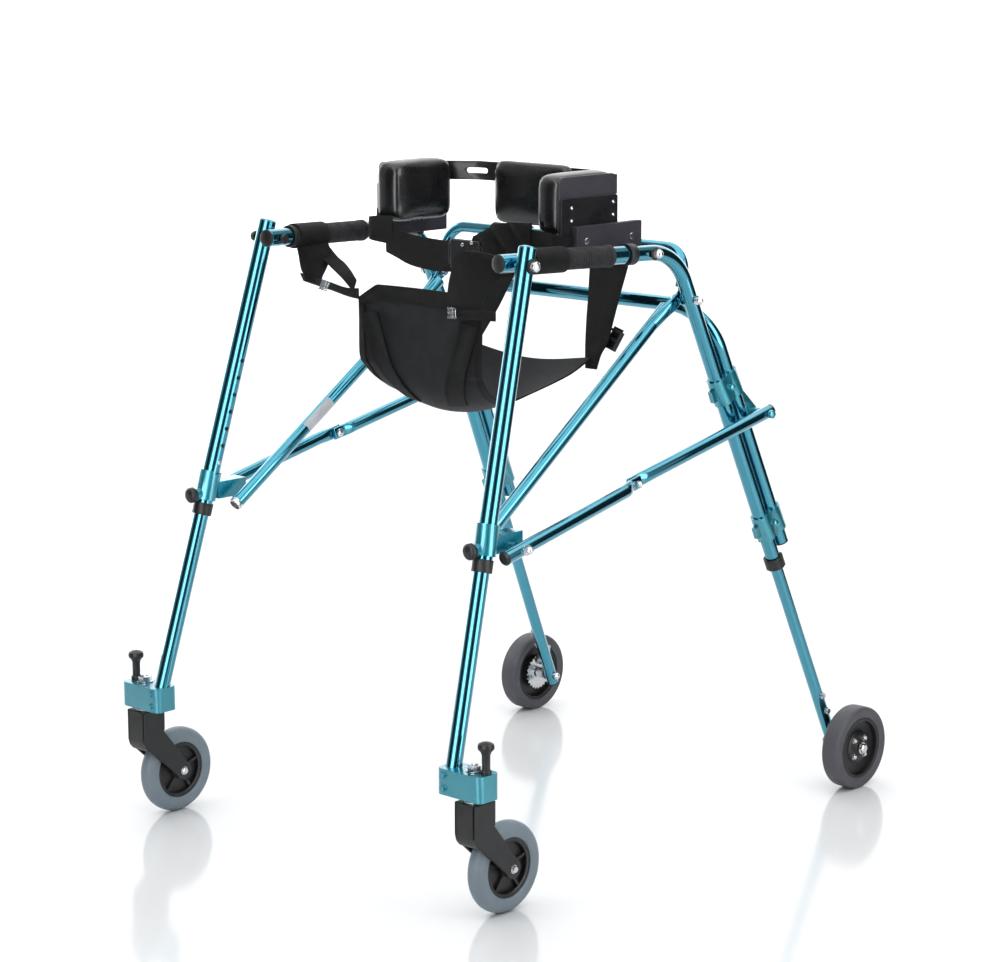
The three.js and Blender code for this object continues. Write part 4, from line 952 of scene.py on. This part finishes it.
def set_mesh(piece, mesh):
    looks = list(piece.data.materials)
    piece.modifiers.clear()
    piece.data = mesh
    mesh.materials.clear()
    for look in looks:
        mesh.materials.append(look)


def swell(piece, pinned, cap, pressure=4.0, voxel=4.5):
    """Blow the piece up as sewn cloth over foam, holding the vertices that `pinned` picks."""
    remesh = piece.modifiers.new("remesh", "REMESH")
    remesh.mode = "VOXEL"
    remesh.voxel_size = voxel * MM
    set_mesh(piece, evaluated_mesh(piece))
    group = piece.vertex_groups.new(name="board")
    held = [v.index for v in piece.data.vertices if pinned(v.co / MM)]
    group.add(held, 1.0, "REPLACE")
    rest = [v.co.copy() for v in piece.data.vertices]
    cloth = piece.modifiers.new("cloth", "CLOTH")
    settings = cloth.settings
    settings.quality = 5
    settings.vertex_group_mass = "board"
    settings.tension_stiffness = 12
    settings.compression_stiffness = 12
    settings.bending_stiffness = 4.0
    settings.use_pressure = True
    settings.uniform_pressure_force = pressure
    settings.effector_weights.gravity = 0
    for step in range(1, 21):
        bpy.context.scene.frame_set(step)
    mesh = evaluated_mesh(piece)
    for vertex, start in zip(mesh.vertices, rest):
        move = vertex.co - start
        if move.length > cap * MM:
            vertex.co = start + move.normalized() * cap * MM
    set_mesh(piece, mesh)
    bpy.context.scene.frame_set(1)
    mesh.shade_smooth()
    ease = piece.modifiers.new("ease", "SMOOTH")
    ease.factor = 0.5
    ease.iterations = 24
    smooth = piece.modifiers.new("round", "SUBSURF")
    smooth.levels = 1
    smooth.render_levels = 1


def cushion(name, outline, middle, place, levels):
    """A cushion built from its outline: each level is a depth and the share of the full outline."""
    rings = []
    for depth, share in levels:
        ring = []
        for point in outline:
            a, b = (centre + (at - centre) * share for centre, at in zip(middle, point))
            ring.append(place(depth, a, b))
        rings.append(ring)
    return add_piece(name, *skin(rings), "frame", "vinyl", angle=180)


# Depth in front of the board and share of the outline, from the rounded face to the board.
CUSHION_EDGE = [(24, 0.90), (23, 0.95), (20, 0.985), (16, 1.0), (3, 1.0), (0, 0.99)]
CUSHION_BULGE = 4.0


def side_pad(label, side):
    """Hip pad: vinyl over foam on a board, its face full and its edges rolled."""
    y, z, board = (-111, 13), (872, 961), 180
    middle = (sum(y) / 2, sum(z) / 2)
    outline = rounded_outline(y, z, 15)

    def place(depth, a, b):
        return Vector((side * (board - depth * 1.78), a, b))

    pad = cushion(f"hip_pad_{label}", outline, middle, place, CUSHION_EDGE)
    swell(pad, lambda p: abs(p.x) > board - 3.0, CUSHION_BULGE)
    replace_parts(pad, f"side_pad_{label}")


def back_pad():
    x, z, board = (-77, 77), (866, 961.5), 46
    middle = (0, sum(z) / 2)
    outline = rounded_outline(x, z, 15)

    def place(depth, a, b):
        return Vector((a, board - depth * 0.7, b))

    pad = cushion("rear_pad", outline, middle, place, CUSHION_EDGE)
    swell(pad, lambda p: p.y > board - 3.0, CUSHION_BULGE)
    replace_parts(pad, "back_pad")


MOUNT_RING_Y = -36
MOUNT_BOLT = (3, 849.4)


def hip_mount(label, side):
    """Carrier of a hip pad: plates, block, clamp ring on the handle and the through bolt."""
    front = -112 if side > 0 else -98
    upper = plate(rounded_outline((front, 8), (880, 958), 9), *side_x(side, 181, 186))
    block_body = block(side_x(side, 188, 199), (-90, 49), (848, 889))
    carrier = add_piece(f"hip_mount_{label}", *merged(upper, block_body), "frame", "mount_grey")
    add_bevel(carrier, 0.8, 3, 30)
    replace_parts(carrier, f"pelvic_mount_{label}")
    bracket = plate(rounded_outline((front, 8), (866, 928), 3), *side_x(side, 185, 189))
    lower = add_piece(f"hip_bracket_{label}", *bracket, "frame", "black_metal")
    add_bevel(lower, 0.6, 2, 30)
    centre = handle_at(side, MOUNT_RING_Y)
    axis = (handle_at(side, 0) - handle_at(side, -100)).normalized()
    ring = [(SIDE_R + 0.5, -7), (SIDE_R + 3.6, -7), (SIDE_R + 4.0, -6), (SIDE_R + 4.0, 6),
            (SIDE_R + 3.6, 7), (SIDE_R + 0.5, 7)]
    arm = block(side_x(side, 198, 235), (MOUNT_RING_Y - 6, MOUNT_RING_Y + 6), (846, 856))
    band = turned_ring(ring, centre, axis)
    clamp = add_piece(f"hip_clamp_{label}", *merged(band, arm), "frame", "black_plastic")
    add_bevel(clamp, 0.6, 2, 40)
    out = Vector((side, 0, 0))

    def at(x):
        return Vector((side * x, *MOUNT_BOLT))

    spacer = turned([(7.2, 0), (8, 0.8), (8, 40), (7.2, 40.8)], at(198), out)
    collar = turned([(8.4, 0), (9, 0.6), (9, 2.0), (8.4, 2.6)], at(262.4), out)
    add_piece(f"hip_spacer_{label}", *merged(spacer, collar), "frame", "black_plastic")
    shank = round_rod(at(199), at(266), 4.0)
    nut = dome_nut(at(265), out, 7.4)
    add_piece(f"hip_bolt_{label}", *merged(shank, nut), "frame", "bright_steel")


def hip_screws(label, side):
    """Screws of the pad's bracket plate and the slotted bolts of the block below it."""
    out = Vector((side, 0, 0))
    heads = []
    for y, z in ((-90, 915), (-90, 897), (-2, 918), (-2, 900)):
        heads.append(screw(Vector((side * 188.8, y, z)), out, 2.6))
    for y in (-70, 26):
        heads.append(slotted_screw(Vector((side * 198.8, y, 868)), out, 4.6))
    add_piece(f"hip_screws_{label}", *merged(*heads), "frame", "bright_steel")


# ------------------------------------------------------------------ sling

SLING_ROWS = [(122, -201, 794, 1.0), (121.5, -201, 742, 0.0), (121, -201, 690, 0.0)]
SLING_TURN = 78
SLING_BOTTOM = 612


def sling_rows():
    """Rows down the middle of the cloth: half width, point, normal, edge lift, corner drop, rear sag."""
    made = []
    for half, y, z, drop in SLING_ROWS:
        made.append((Vector((half, 0, 0)), Vector((0, y, z)), Vector((0, 1, 0)), Vector((0, drop, 0))))
    for i in range(1, 11):
        angle = (math.pi / 2 + 0.6) * i / 10
        y = -201 + SLING_TURN * (1 - math.cos(angle))
        z = SLING_BOTTOM + SLING_TURN * (1 - math.sin(angle))
        normal = Vector((0, math.cos(angle), math.sin(angle)))
        half = 121 - 15 * math.sin(angle)
        made.append((Vector((half, 0, 0)), Vector((0, y, z)), normal, Vector((math.sin(angle), 0, 0))))
    made.append((Vector((112, 0, 0)), Vector((0, -6, 656)), Vector((0, -0.55, 0.83)), Vector((0.3, 0, 0.3))))
    made.append((Vector((120, 0, 0)), Vector((0, 30, 684)), Vector((0, -0.7, 0.7)), Vector((0, 0, 1))))
    return smooth_rows(made, 8)


class Cloth:
    """The hung sling as a surface: across is -1 to 1, down is the distance from the top hem."""

    def __init__(self, rows):
        self.rows = rows
        self.downs = [0.0]
        for before, after in zip(rows, rows[1:]):
            self.downs.append(self.downs[-1] + (after[1] - before[1]).length)
        self.length = self.downs[-1]

    def row(self, down):
        down = min(max(down, 0.0), self.length)
        i = 0
        while i < len(self.downs) - 2 and self.downs[i + 1] < down:
            i += 1
        share = (down - self.downs[i]) / (self.downs[i + 1] - self.downs[i])
        return tuple(a.lerp(b, share) for a, b in zip(self.rows[i], self.rows[i + 1]))

    def point(self, across, down, lift=0.0):
        half, middle, normal, pull = self.row(down)
        normal = normal.normalized()
        at = middle + half * across
        at += normal * 27 * pull.x * across * across
        corner = max(0.0, (abs(across) - 0.7) / 0.3)
        at.z -= 20 * max(0.0, pull.y) * corner
        at.z += 2.5 * max(0.0, pull.y) * (1 - across * across)
        at.z -= 12 * pull.z * (1 - across * across) ** 1.5
        return at + normal * (self.crease(across, down) - lift)

    def crease(self, across, down):
        """Soft folds: broad waves, and pulls that run in from the two top corners."""
        broad = noise.noise(Vector((across * 1.9, down * 0.012, 3.1))) * 1.3
        slack = math.sin(math.pi * min(1.0, down / self.length))
        value = broad * slack
        for corner in (-1, 1):
            dx = (across - corner) * 120
            angle = math.atan2(down, abs(dx) + 1.0)
            reach = math.hypot(dx, down)
            fade = math.exp(-((reach - 80) / 60) ** 2)
            value += 0.8 * math.sin(angle * 13 + corner) * fade
        return max(-1.9, min(1.9, value))


SLING = Cloth(sling_rows())


def patch(cloth, edges, rows, columns, lift, thickness):
    """A layer of cloth lying on the sling; edges(t) gives its left and right as (across, down)."""
    top = []
    under = []
    flat = []
    for i in range(rows + 1):
        left, right = edges(i / rows)
        for k in range(columns + 1):
            share = k / columns
            across = left[0] + (right[0] - left[0]) * share
            down = left[1] + (right[1] - left[1]) * share
            top.append(cloth.point(across, down, lift + thickness / 2))
            under.append(cloth.point(across, down, lift - thickness / 2))
            flat.append((across * 121, down))
    count = len(top)
    width = columns + 1
    faces = []
    for i in range(rows):
        for k in range(columns):
            a = i * width + k
            faces.append((a, a + 1, a + width + 1, a + width))
            faces.append((count + a + width, count + a + width + 1, count + a + 1, count + a))
    border = list(range(width))
    border += [i * width + columns for i in range(1, rows + 1)]
    border += [rows * width + k for k in range(columns - 1, -1, -1)]
    border += [i * width for i in range(rows - 1, 0, -1)]
    for a, b in zip(border, border[1:] + border[:1]):
        faces.append((a, count + a, count + b, b))
    return top + under, faces, flat + flat


def stitches(path, pitch=4.4, length=2.9, radius=0.42):
    """A row of thread stitches along a list of (point, outward normal)."""
    made = []
    travelled = 0.0
    due = 0.0
    for (a, normal), (b, _) in zip(path, path[1:]):
        step = (b - a).length
        if step < 1e-6:
            continue
        axis = (b - a) / step
        side = axis.cross(normal).normalized()
        while due <= travelled + step:
            at = a + axis * (due - travelled)
            rings = []
            for along, size in ((0, 0.5), (length * 0.25, 1.0), (length * 0.75, 1.0), (length, 0.5)):
                centre = at + axis * along
                rings.append([centre + (normal * u + side * v) * radius * size for u, v in circle(1.0, 6)])
            made.append(skin(rings))
            due += pitch
        travelled += step
    return merged(*made)


def sling_path(points, lift):
    path = []
    for across, down in points:
        at = SLING.point(across, down, lift)
        normal = at - SLING.point(across, down, lift - 1)
        path.append((at, normal.normalized()))
    return path


def sling_seat():
    whole = patch(SLING, lambda t: ((-1, t * SLING.length), (1, t * SLING.length)), 110, 44, 0.0, 1.8)
    seat = add_piece("sling_cloth", *whole[:2], "frame", "sling_cloth", whole[2], 60)
    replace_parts(seat, "sling_seat")
    length = SLING.length
    layers = [
        patch(SLING, lambda t: ((-1, 24 * t - 0.5), (1, 24 * t - 0.5)), 6, 44, 1.3, 1.2),
        patch(SLING, lambda t: ((-1, length - 24 * t), (1, length - 24 * t)), 6, 44, 1.3, 1.2),
    ]
    seams = [[(-1 + k * 0.02, 21) for k in range(101)], [(-1 + k * 0.02, length - 21) for k in range(101)]]
    for side in SIDES.values():

        def binding(t, side=side):
            return (side, t * length), (side * 0.9, t * length)

        layers.append(patch(SLING, binding, 90, 3, 1.35, 1.3))
        seams.append([(side * 0.92, 24 + (length - 48) * t / 120) for t in range(121)])
        high, low = (0.98, 38), (0.56, 176)
        wide = 0.30

        def edges(t, side=side, high=high, low=low, wide=wide):
            down = high[1] + (low[1] - high[1]) * t
            outer = high[0] + (low[0] - high[0]) * t
            return (side * outer, down), (side * (outer - wide), down)

        layers.append(patch(SLING, edges, 40, 8, 2.0, 1.6))
        for inset in (0.03, 0.27):
            seam = []
            for t in range(61):
                outer = high[0] + (low[0] - high[0]) * t / 60
                seam.append((side * (outer - inset), high[1] + (low[1] - high[1]) * t / 60))
            seams.append(seam)
    verts, faces, flat = joined_flat(*layers)
    trim = add_piece("sling_trim", verts, faces, "frame", "webbing", flat, 60)
    threads = [stitches(sling_path(points, 2.2 + (0.8 if i > 3 else 0))) for i, points in enumerate(seams)]
    thread = add_piece("sling_stitches", *merged(*threads), "frame", "sling_cloth")


# ------------------------------------------------------------------ straps

def loop_strap(centre, axis, radius, half, thickness=2.4):
    """A webbing loop round a handle or bar, its edges eased."""
    outer = radius + thickness
    profile = [(radius, -half), (outer, -half + 0.5), (outer, half - 0.5), (radius, half)]
    geometry = turned_ring(profile, centre, axis, 56)
    flat = []
    for _, distance in profile:
        flat += [(distance, 2 * math.pi * radius * k / 56) for k in range(56)]
    return geometry[0], geometry[1], flat


def buckle(name, centre, along, across, body, look="bright_steel", size=1.0):
    """A cam buckle: a bent frame, a pressed lever lying on it and its pin."""
    along = Vector(along).normalized()
    across = (Vector(across) - along * Vector(across).dot(along)).normalized()
    normal = along.cross(across)

    def slab(a, b, c):
        rings = []
        for u in a:
            rings.append([centre + (along * u + across * v + normal * w) * size
                          for v, w in ((b[0], c[0]), (b[1], c[0]), (b[1], c[1]), (b[0], c[1]))])
        return skin(rings)

    parts = [
        slab((-15, 15), (-15, -12.5), (-1, 7)),
        slab((-15, 15), (12.5, 15), (-1, 7)),
        slab((-15, -11), (-13, 13), (-1, 1.2)),
        slab((11, 15), (-13, 13), (-1, 1.2)),
        slab((-12, 8), (-12, 12), (5.4, 7.2)),
        slab((8, 19), (-10, 10), (6.4, 7.8)),
    ]
    pin_ends = [centre + (across * end + normal * 3.4) * size for end in (-16.5, 16.5)]
    pin = round_rod(*pin_ends, 2.0 * size)
    piece = add_piece(name, *merged(*parts, pin), body, look)
    add_bevel(piece, 0.5, 2, 30)
    return piece


FRONT_LINES = {
    "left": [
        ((214, -226, 848), (214, -171, 842)),
        ((184, -223, 856), (200, -180, 838)),
        ((150, -219, 859), (185, -190, 832)),
        ((92, -214, 857), (160, -201, 824)),
        ((72, -211, 826), (142, -208, 806)),
        ((64, -210, 796), (130, -209.5, 788)),
        ((62, -209.5, 768), (120, -209.5, 766)),
    ],
    "right": [
        ((-226, -227, 843), (-224, -166, 843)),
        ((-221, -227, 826), (-212, -172, 828)),
        ((-221, -223, 808), (-203, -186, 812)),
        ((-219, -218, 797), (-193, -207, 797)),
        ((-217, -218.5, 790), (-190, -211, 788)),
    ],
}
RIGHT_CORNER_LINES = [
    ((-232, -186, 838), (-228, -160, 836)),
    ((-216, -188, 824), (-208, -162, 822)),
    ((-190, -194, 812), (-180, -172, 814)),
    ((-156, -204, 799), (-148, -190, 806)),
    ((-126, -210, 782), (-123, -206, 799)),
]
RIGHT_BUCKLE_LINES = [
    ((-229, -217, 801), (-227, -212, 789)),
    ((-204, -217, 798), (-203, -211, 785)),
    ((-170, -216, 793), (-170, -210, 780)),
    ((-138, -213, 787), (-138, -209, 774)),
    ((-114, -210.5, 788), (-115, -209.5, 772)),
]


def front_strap(label, side):
    top = handle_at(side, -196)
    axis = handle_at(side, -100) - handle_at(side, -200)
    parts = [loop_strap(top, axis, 16.4, 31, 1.8), ribbon(FRONT_LINES[label], 2.4, 10)]
    if side < 0:
        parts.append(ribbon(RIGHT_CORNER_LINES, 2.2, 10))
        parts.append(ribbon(RIGHT_BUCKLE_LINES, 2.2, 10))
    verts, faces, flat = joined_flat(*parts)
    piece = add_piece(f"front_harness_{label}", verts, faces, "frame", "webbing", flat, 60)
    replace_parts(piece, f"front_strap_{label}")
    if side > 0:
        centre = Vector((76, -212.5, 770))
        buckle("front_buckle_left", centre, (1, 0, 0.04), (0, 0, 1), "frame", "bright_steel", 0.5)
        tail = [
            ((84, -212, 763), (84, -212, 777)),
            ((122, -213, 764), (122, -213, 778)),
            ((157, -211, 765), (157, -211, 778)),
        ]
        strap("front_tail_left", "frame", tail)
    else:
        centre = Vector((-176, -218.5, 787))
        across = (0, 0.4, 0.92)
        buckle("front_buckle_right", centre, (0.99, 0.02, -0.14), across, "frame", "bright_steel", 0.5)


def rear_strap(label, side):
    bar = Vector((side * 103, TOP_BAR["y"], TOP_BAR["z"]))
    rows = [
        ((66, 96, 838), (140, 96, 838)),
        ((68, 86.5, 808), (139.5, 88, 812)),
        ((80, 69.5, 767), (140, 72, 776)),
        ((88, 57, 738), (139.5, 60, 744)),
        ((100, 41, 704), (140, 45, 708)),
        ((106, 34, 688), (136, 35, 690)),
        ((110, 30, 668), (131, 31, 668)),
    ]
    rows = [(mirrored(side, a), mirrored(side, b)) for a, b in rows]
    parts = [loop_strap(bar, (1, 0, 0), 9.4, 37), ribbon(rows, 2.4, 10)]
    verts, faces, flat = joined_flat(*parts)
    piece = add_piece(f"rear_harness_{label}", verts, faces, "frame", "webbing", flat, 60)
    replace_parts(piece, f"rear_strap_{label}")
    centre = Vector((side * 137, 54, 712))
    buckle(f"rear_buckle_{label}", centre, (side * 0.25, 0.4, 0.88), (1, 0, 0), "frame", "black_metal")


BELT_LINES = [
    ((140, -119, 893), (140, -119, 838)),
    ((122, -120, 892), (124, -120, 828)),
    ((98, -120, 891), (96, -120, 818)),
    ((68, -120, 884), (66, -121, 810)),
    ((42, -119, 872), (40, -121, 806)),
    ((26, -119, 866), (24, -120, 810)),
]


def pelvic_belt():
    """Padded right half with folds, a plastic buckle, and the webbing of the other half."""
    right = ribbon(BELT_LINES, 4.0, 10, 14)
    folded = []
    for point in right[0]:
        wave = math.sin((point.x * 0.9 + point.z * 0.75) * 0.17) * 2.6
        reach = min(1.0, (140 - point.x) / 30)
        folded.append(point + Vector((0, wave * reach - 1.0, 0)))
    left = ribbon([
        ((30, -117, 858), (30, -117, 818)),
        ((-10, -117.5, 856), (-12, -118, 812)),
        ((-50, -116, 856), (-54, -117, 810)),
        ((-95, -117, 859), (-98, -117, 814)),
        ((-128, -118.5, 864), (-130, -118.5, 824)),
        ((-150, -118, 867), (-150, -118, 830)),
    ], 2.4, 10)
    verts, faces, flat = joined_flat((folded, right[1], right[2]), left)
    piece = add_piece("hip_belt", verts, faces, "frame", "webbing", flat, 60)
    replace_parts(piece, "pelvic_belt")
    shell = [
        block((-14, 44), (-124.5, -114.5), (818, 860)),
        block((-20, -12), (-122.5, -116), (823, 855)),
        block((42, 50), (-122.5, -116), (823, 855)),
    ]
    clasp = add_piece("belt_buckle", *merged(*shell), "frame", "black_plastic")
    add_bevel(clasp, 2.4, 4, 30)
    rivets = [screw(Vector((x, -124.2, z)), (0, -1, 0), 3.0) for x, z in ((11, 853), (29, 857))]
    add_piece("belt_rivets", *merged(*rivets), "frame", "bright_steel")
    for label, side in SIDES.items():
        rows = [((136, -119, 884), (136, -119, 842)), ((168, -119, 882), (168, -119, 844)),
                ((184, -118, 880), (184, -118, 846)), ((191, -110, 879), (191, -110, 848)),
                ((192, -92, 878), (192, -92, 850))]
        rows = [(mirrored(side, a), mirrored(side, b)) for a, b in rows]
        strap(f"belt_anchor_{label}", "frame", rows, 2.0)


# ------------------------------------------------------------------ CAD pieces that stay

KEPT = {
    "upper_clamp": "blue_cast",
    "lower_clamp": "blue_cast",
    "rear_leg_ring": "black_plastic",
    "leg_collar": "blue_cast",
    "collar_knob": "black_plastic",
    "front_leg_ring": "black_plastic",
    "caster_bracket": "blue_cast",
    "reverse_pawl": "bright_steel",
}


def finish_cad(node, look):
    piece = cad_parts[node]
    for entry in piece.material_slots:
        entry.material = MATERIALS[look]
    weld = piece.modifiers.new("weld", "WELD")
    weld.merge_threshold = 0.02 * MM
    add_bevel(piece, 0.7, 2, 50)
    even = piece.modifiers.new("even", "WEIGHTED_NORMAL")
    even.mode = "FACE_AREA"
    even.weight = 80
    piece.data.shade_smooth()


def pivot_washer(label, side):
    """Black washer under the leg pivot's dome nut."""
    profile = [(4.4, 0), (10, 0), (10.4, 0.5), (10.4, 3.4), (10, 3.9), (4.4, 3.9)]
    centre = Vector((side * 271.4, *LEG_PIVOT))
    ring = turned_ring(profile, centre, Vector((side, 0, 0)))
    add_piece(f"pivot_washer_{label}", *ring, "frame", "black_plastic")


for node_name, node_look in KEPT.items():
    for label_name in SIDES:
        finish_cad(f"{node_name}_{label_name}", node_look)
finish_cad("back_bar", "black_metal")
finish_cad("pivot_bolt_left", "bright_steel")
finish_cad("pivot_bolt_right", "black_plastic")
pivot_washer("left", 1)

rear_u_frame()
upper_rear_bar()
for label_name, side_sign in SIDES.items():
    side_tube(label_name, side_sign)
    front_leg(label_name, side_sign)
    front_extension(label_name, side_sign)
    rear_extension(label_name, side_sign)
    diagonal_stay(label_name, side_sign)
    braces(label_name, side_sign)
    handle_grip(label_name, side_sign)
    caster_wheel(label_name, side_sign)
    rear_wheel(label_name, side_sign)
    caster_fork(label_name, side_sign)
    swivel_lock(label_name, side_sign)
    side_pad(label_name, side_sign)
    hip_mount(label_name, side_sign)
    hip_screws(label_name, side_sign)
    front_strap(label_name, side_sign)
    rear_strap(label_name, side_sign)
back_pad()
sling_seat()
pelvic_belt()


# ------------------------------------------------------------------ studio

def add_stage_mesh(name, corners, faces, made):
    mesh = bpy.data.meshes.new(name)
    mesh.from_pydata(corners, [], faces)
    mesh.materials.append(made.material)
    piece = bpy.data.objects.new(name, mesh)
    bpy.context.scene.collection.objects.link(piece)
    piece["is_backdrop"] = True
    return piece


def add_floor():
    size = 14.0
    corners = [(-size, -size, 0), (size, -size, 0), (size, size, 0), (-size, size, 0)]
    made = Surface("studio_floor", (0.86, 0.868, 0.876), 0.12, Specular_IOR_Level=0.35)
    vector = made.coords()
    made.rough(made.spread(made.noise(vector, 3.0), 0.10, 0.15))
    add_stage_mesh("floor", corners, [(0, 1, 2, 3)], made)


def glowing(name, colour, strength):
    made = Surface(name, colour, 0.9)
    made.put("Emission Color", (*colour, 1.0))
    made.put("Emission Strength", strength)
    return made


def add_card(name, centre, towards, size, colour, strength, seen=False):
    """A flat studio card: a light one glows, a dark one only shows in reflections."""
    half_w, half_h = size[0] / 2, size[1] / 2
    corners = [(-half_w, -half_h, 0), (half_w, -half_h, 0), (half_w, half_h, 0), (-half_w, half_h, 0)]
    card = add_stage_mesh(name, corners, [(0, 1, 2, 3)], glowing(name, colour, strength))
    direction = Vector(towards) - Vector(centre)
    card.rotation_euler = direction.to_track_quat("Z", "Y").to_euler()
    card.location = centre
    card.visible_camera = seen
    card.visible_shadow = False
    card.visible_diffuse = seen or name == "ceiling"


def ring_place(azimuth, distance, height):
    """A place on a circle round the walker; azimuth 0 is in front of it, 90 at its left."""
    angle = math.radians(azimuth)
    return (distance * math.sin(angle), -distance * math.cos(angle), height)


def add_area(name, location, towards, size, power):
    data = bpy.data.lights.new(name, "AREA")
    data.shape = "RECTANGLE"
    data.size, data.size_y = size
    data.energy = power
    lamp = bpy.data.objects.new(name, data)
    lamp.location = location
    lamp.rotation_euler = (Vector(towards) - Vector(location)).to_track_quat("-Z", "Y").to_euler()
    bpy.context.scene.collection.objects.link(lamp)


def add_world():
    world = bpy.data.worlds.new("studio")
    world.use_nodes = True
    background = world.node_tree.nodes["Background"]
    background.inputs["Color"].default_value = (1.0, 1.0, 1.0, 1.0)
    background.inputs["Strength"].default_value = WORLD_STRENGTH
    bpy.context.scene.world = world


def add_camera():
    data = bpy.data.cameras.new("camera")
    data.sensor_width = 36
    data.lens = 105.42
    camera = bpy.data.objects.new("camera", data)
    camera.location = (2.8994, -3.1294, 1.3197)
    camera.rotation_euler = (math.radians(79), 0, math.radians(43.13))
    bpy.context.scene.collection.objects.link(camera)
    bpy.context.scene.camera = camera


TARGET = (0, 0, 0.5)
DARK = (0.008, 0.012, 0.016)
WHITE = (1.0, 1.0, 1.0)
WORLD_STRENGTH = 0.42
# Cards round the walker: azimuth, width and brightness; 0 is a black flag.
CARDS = [
    ("strip_a", 19, 1.1, 3.4),
    ("flag_a", 56, 0.9, 0.0),
    ("strip_b", 91, 1.2, 3.2),
    ("flag_b", 146, 2.0, 0.0),
    ("flag_c", -26, 1.4, 0.0),
    ("strip_c", -85, 0.9, 2.6),
]
CARD_DISTANCE = 2.3


def add_studio():
    add_floor()
    add_world()
    for name, azimuth, width, glow in CARDS:
        place = ring_place(azimuth, CARD_DISTANCE, 1.15)
        add_card(name, place, (0, 0, 1.15), (width, 2.2), WHITE if glow else DARK, glow)
    add_card("backdrop", ring_place(223, 7.0, 3.5), (0, 0, 3.5), (16, 9), WHITE, 1.05, True)
    add_card("ceiling", (0, 0, 3.6), (0, 0, 0), (5.0, 5.0), WHITE, 0.95)
    add_area("key", ring_place(-10, 2.6, 2.9), TARGET, (1.4, 1.4), 16)
    add_area("fill", ring_place(100, 2.8, 2.4), TARGET, (1.2, 1.6), 12)
    bpy.context.scene.view_settings.view_transform = "Standard"
    add_camera()


add_studio()
sizes = [[list(map(float, corner)) for corner in box] for box in (CAD_BOX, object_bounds())]
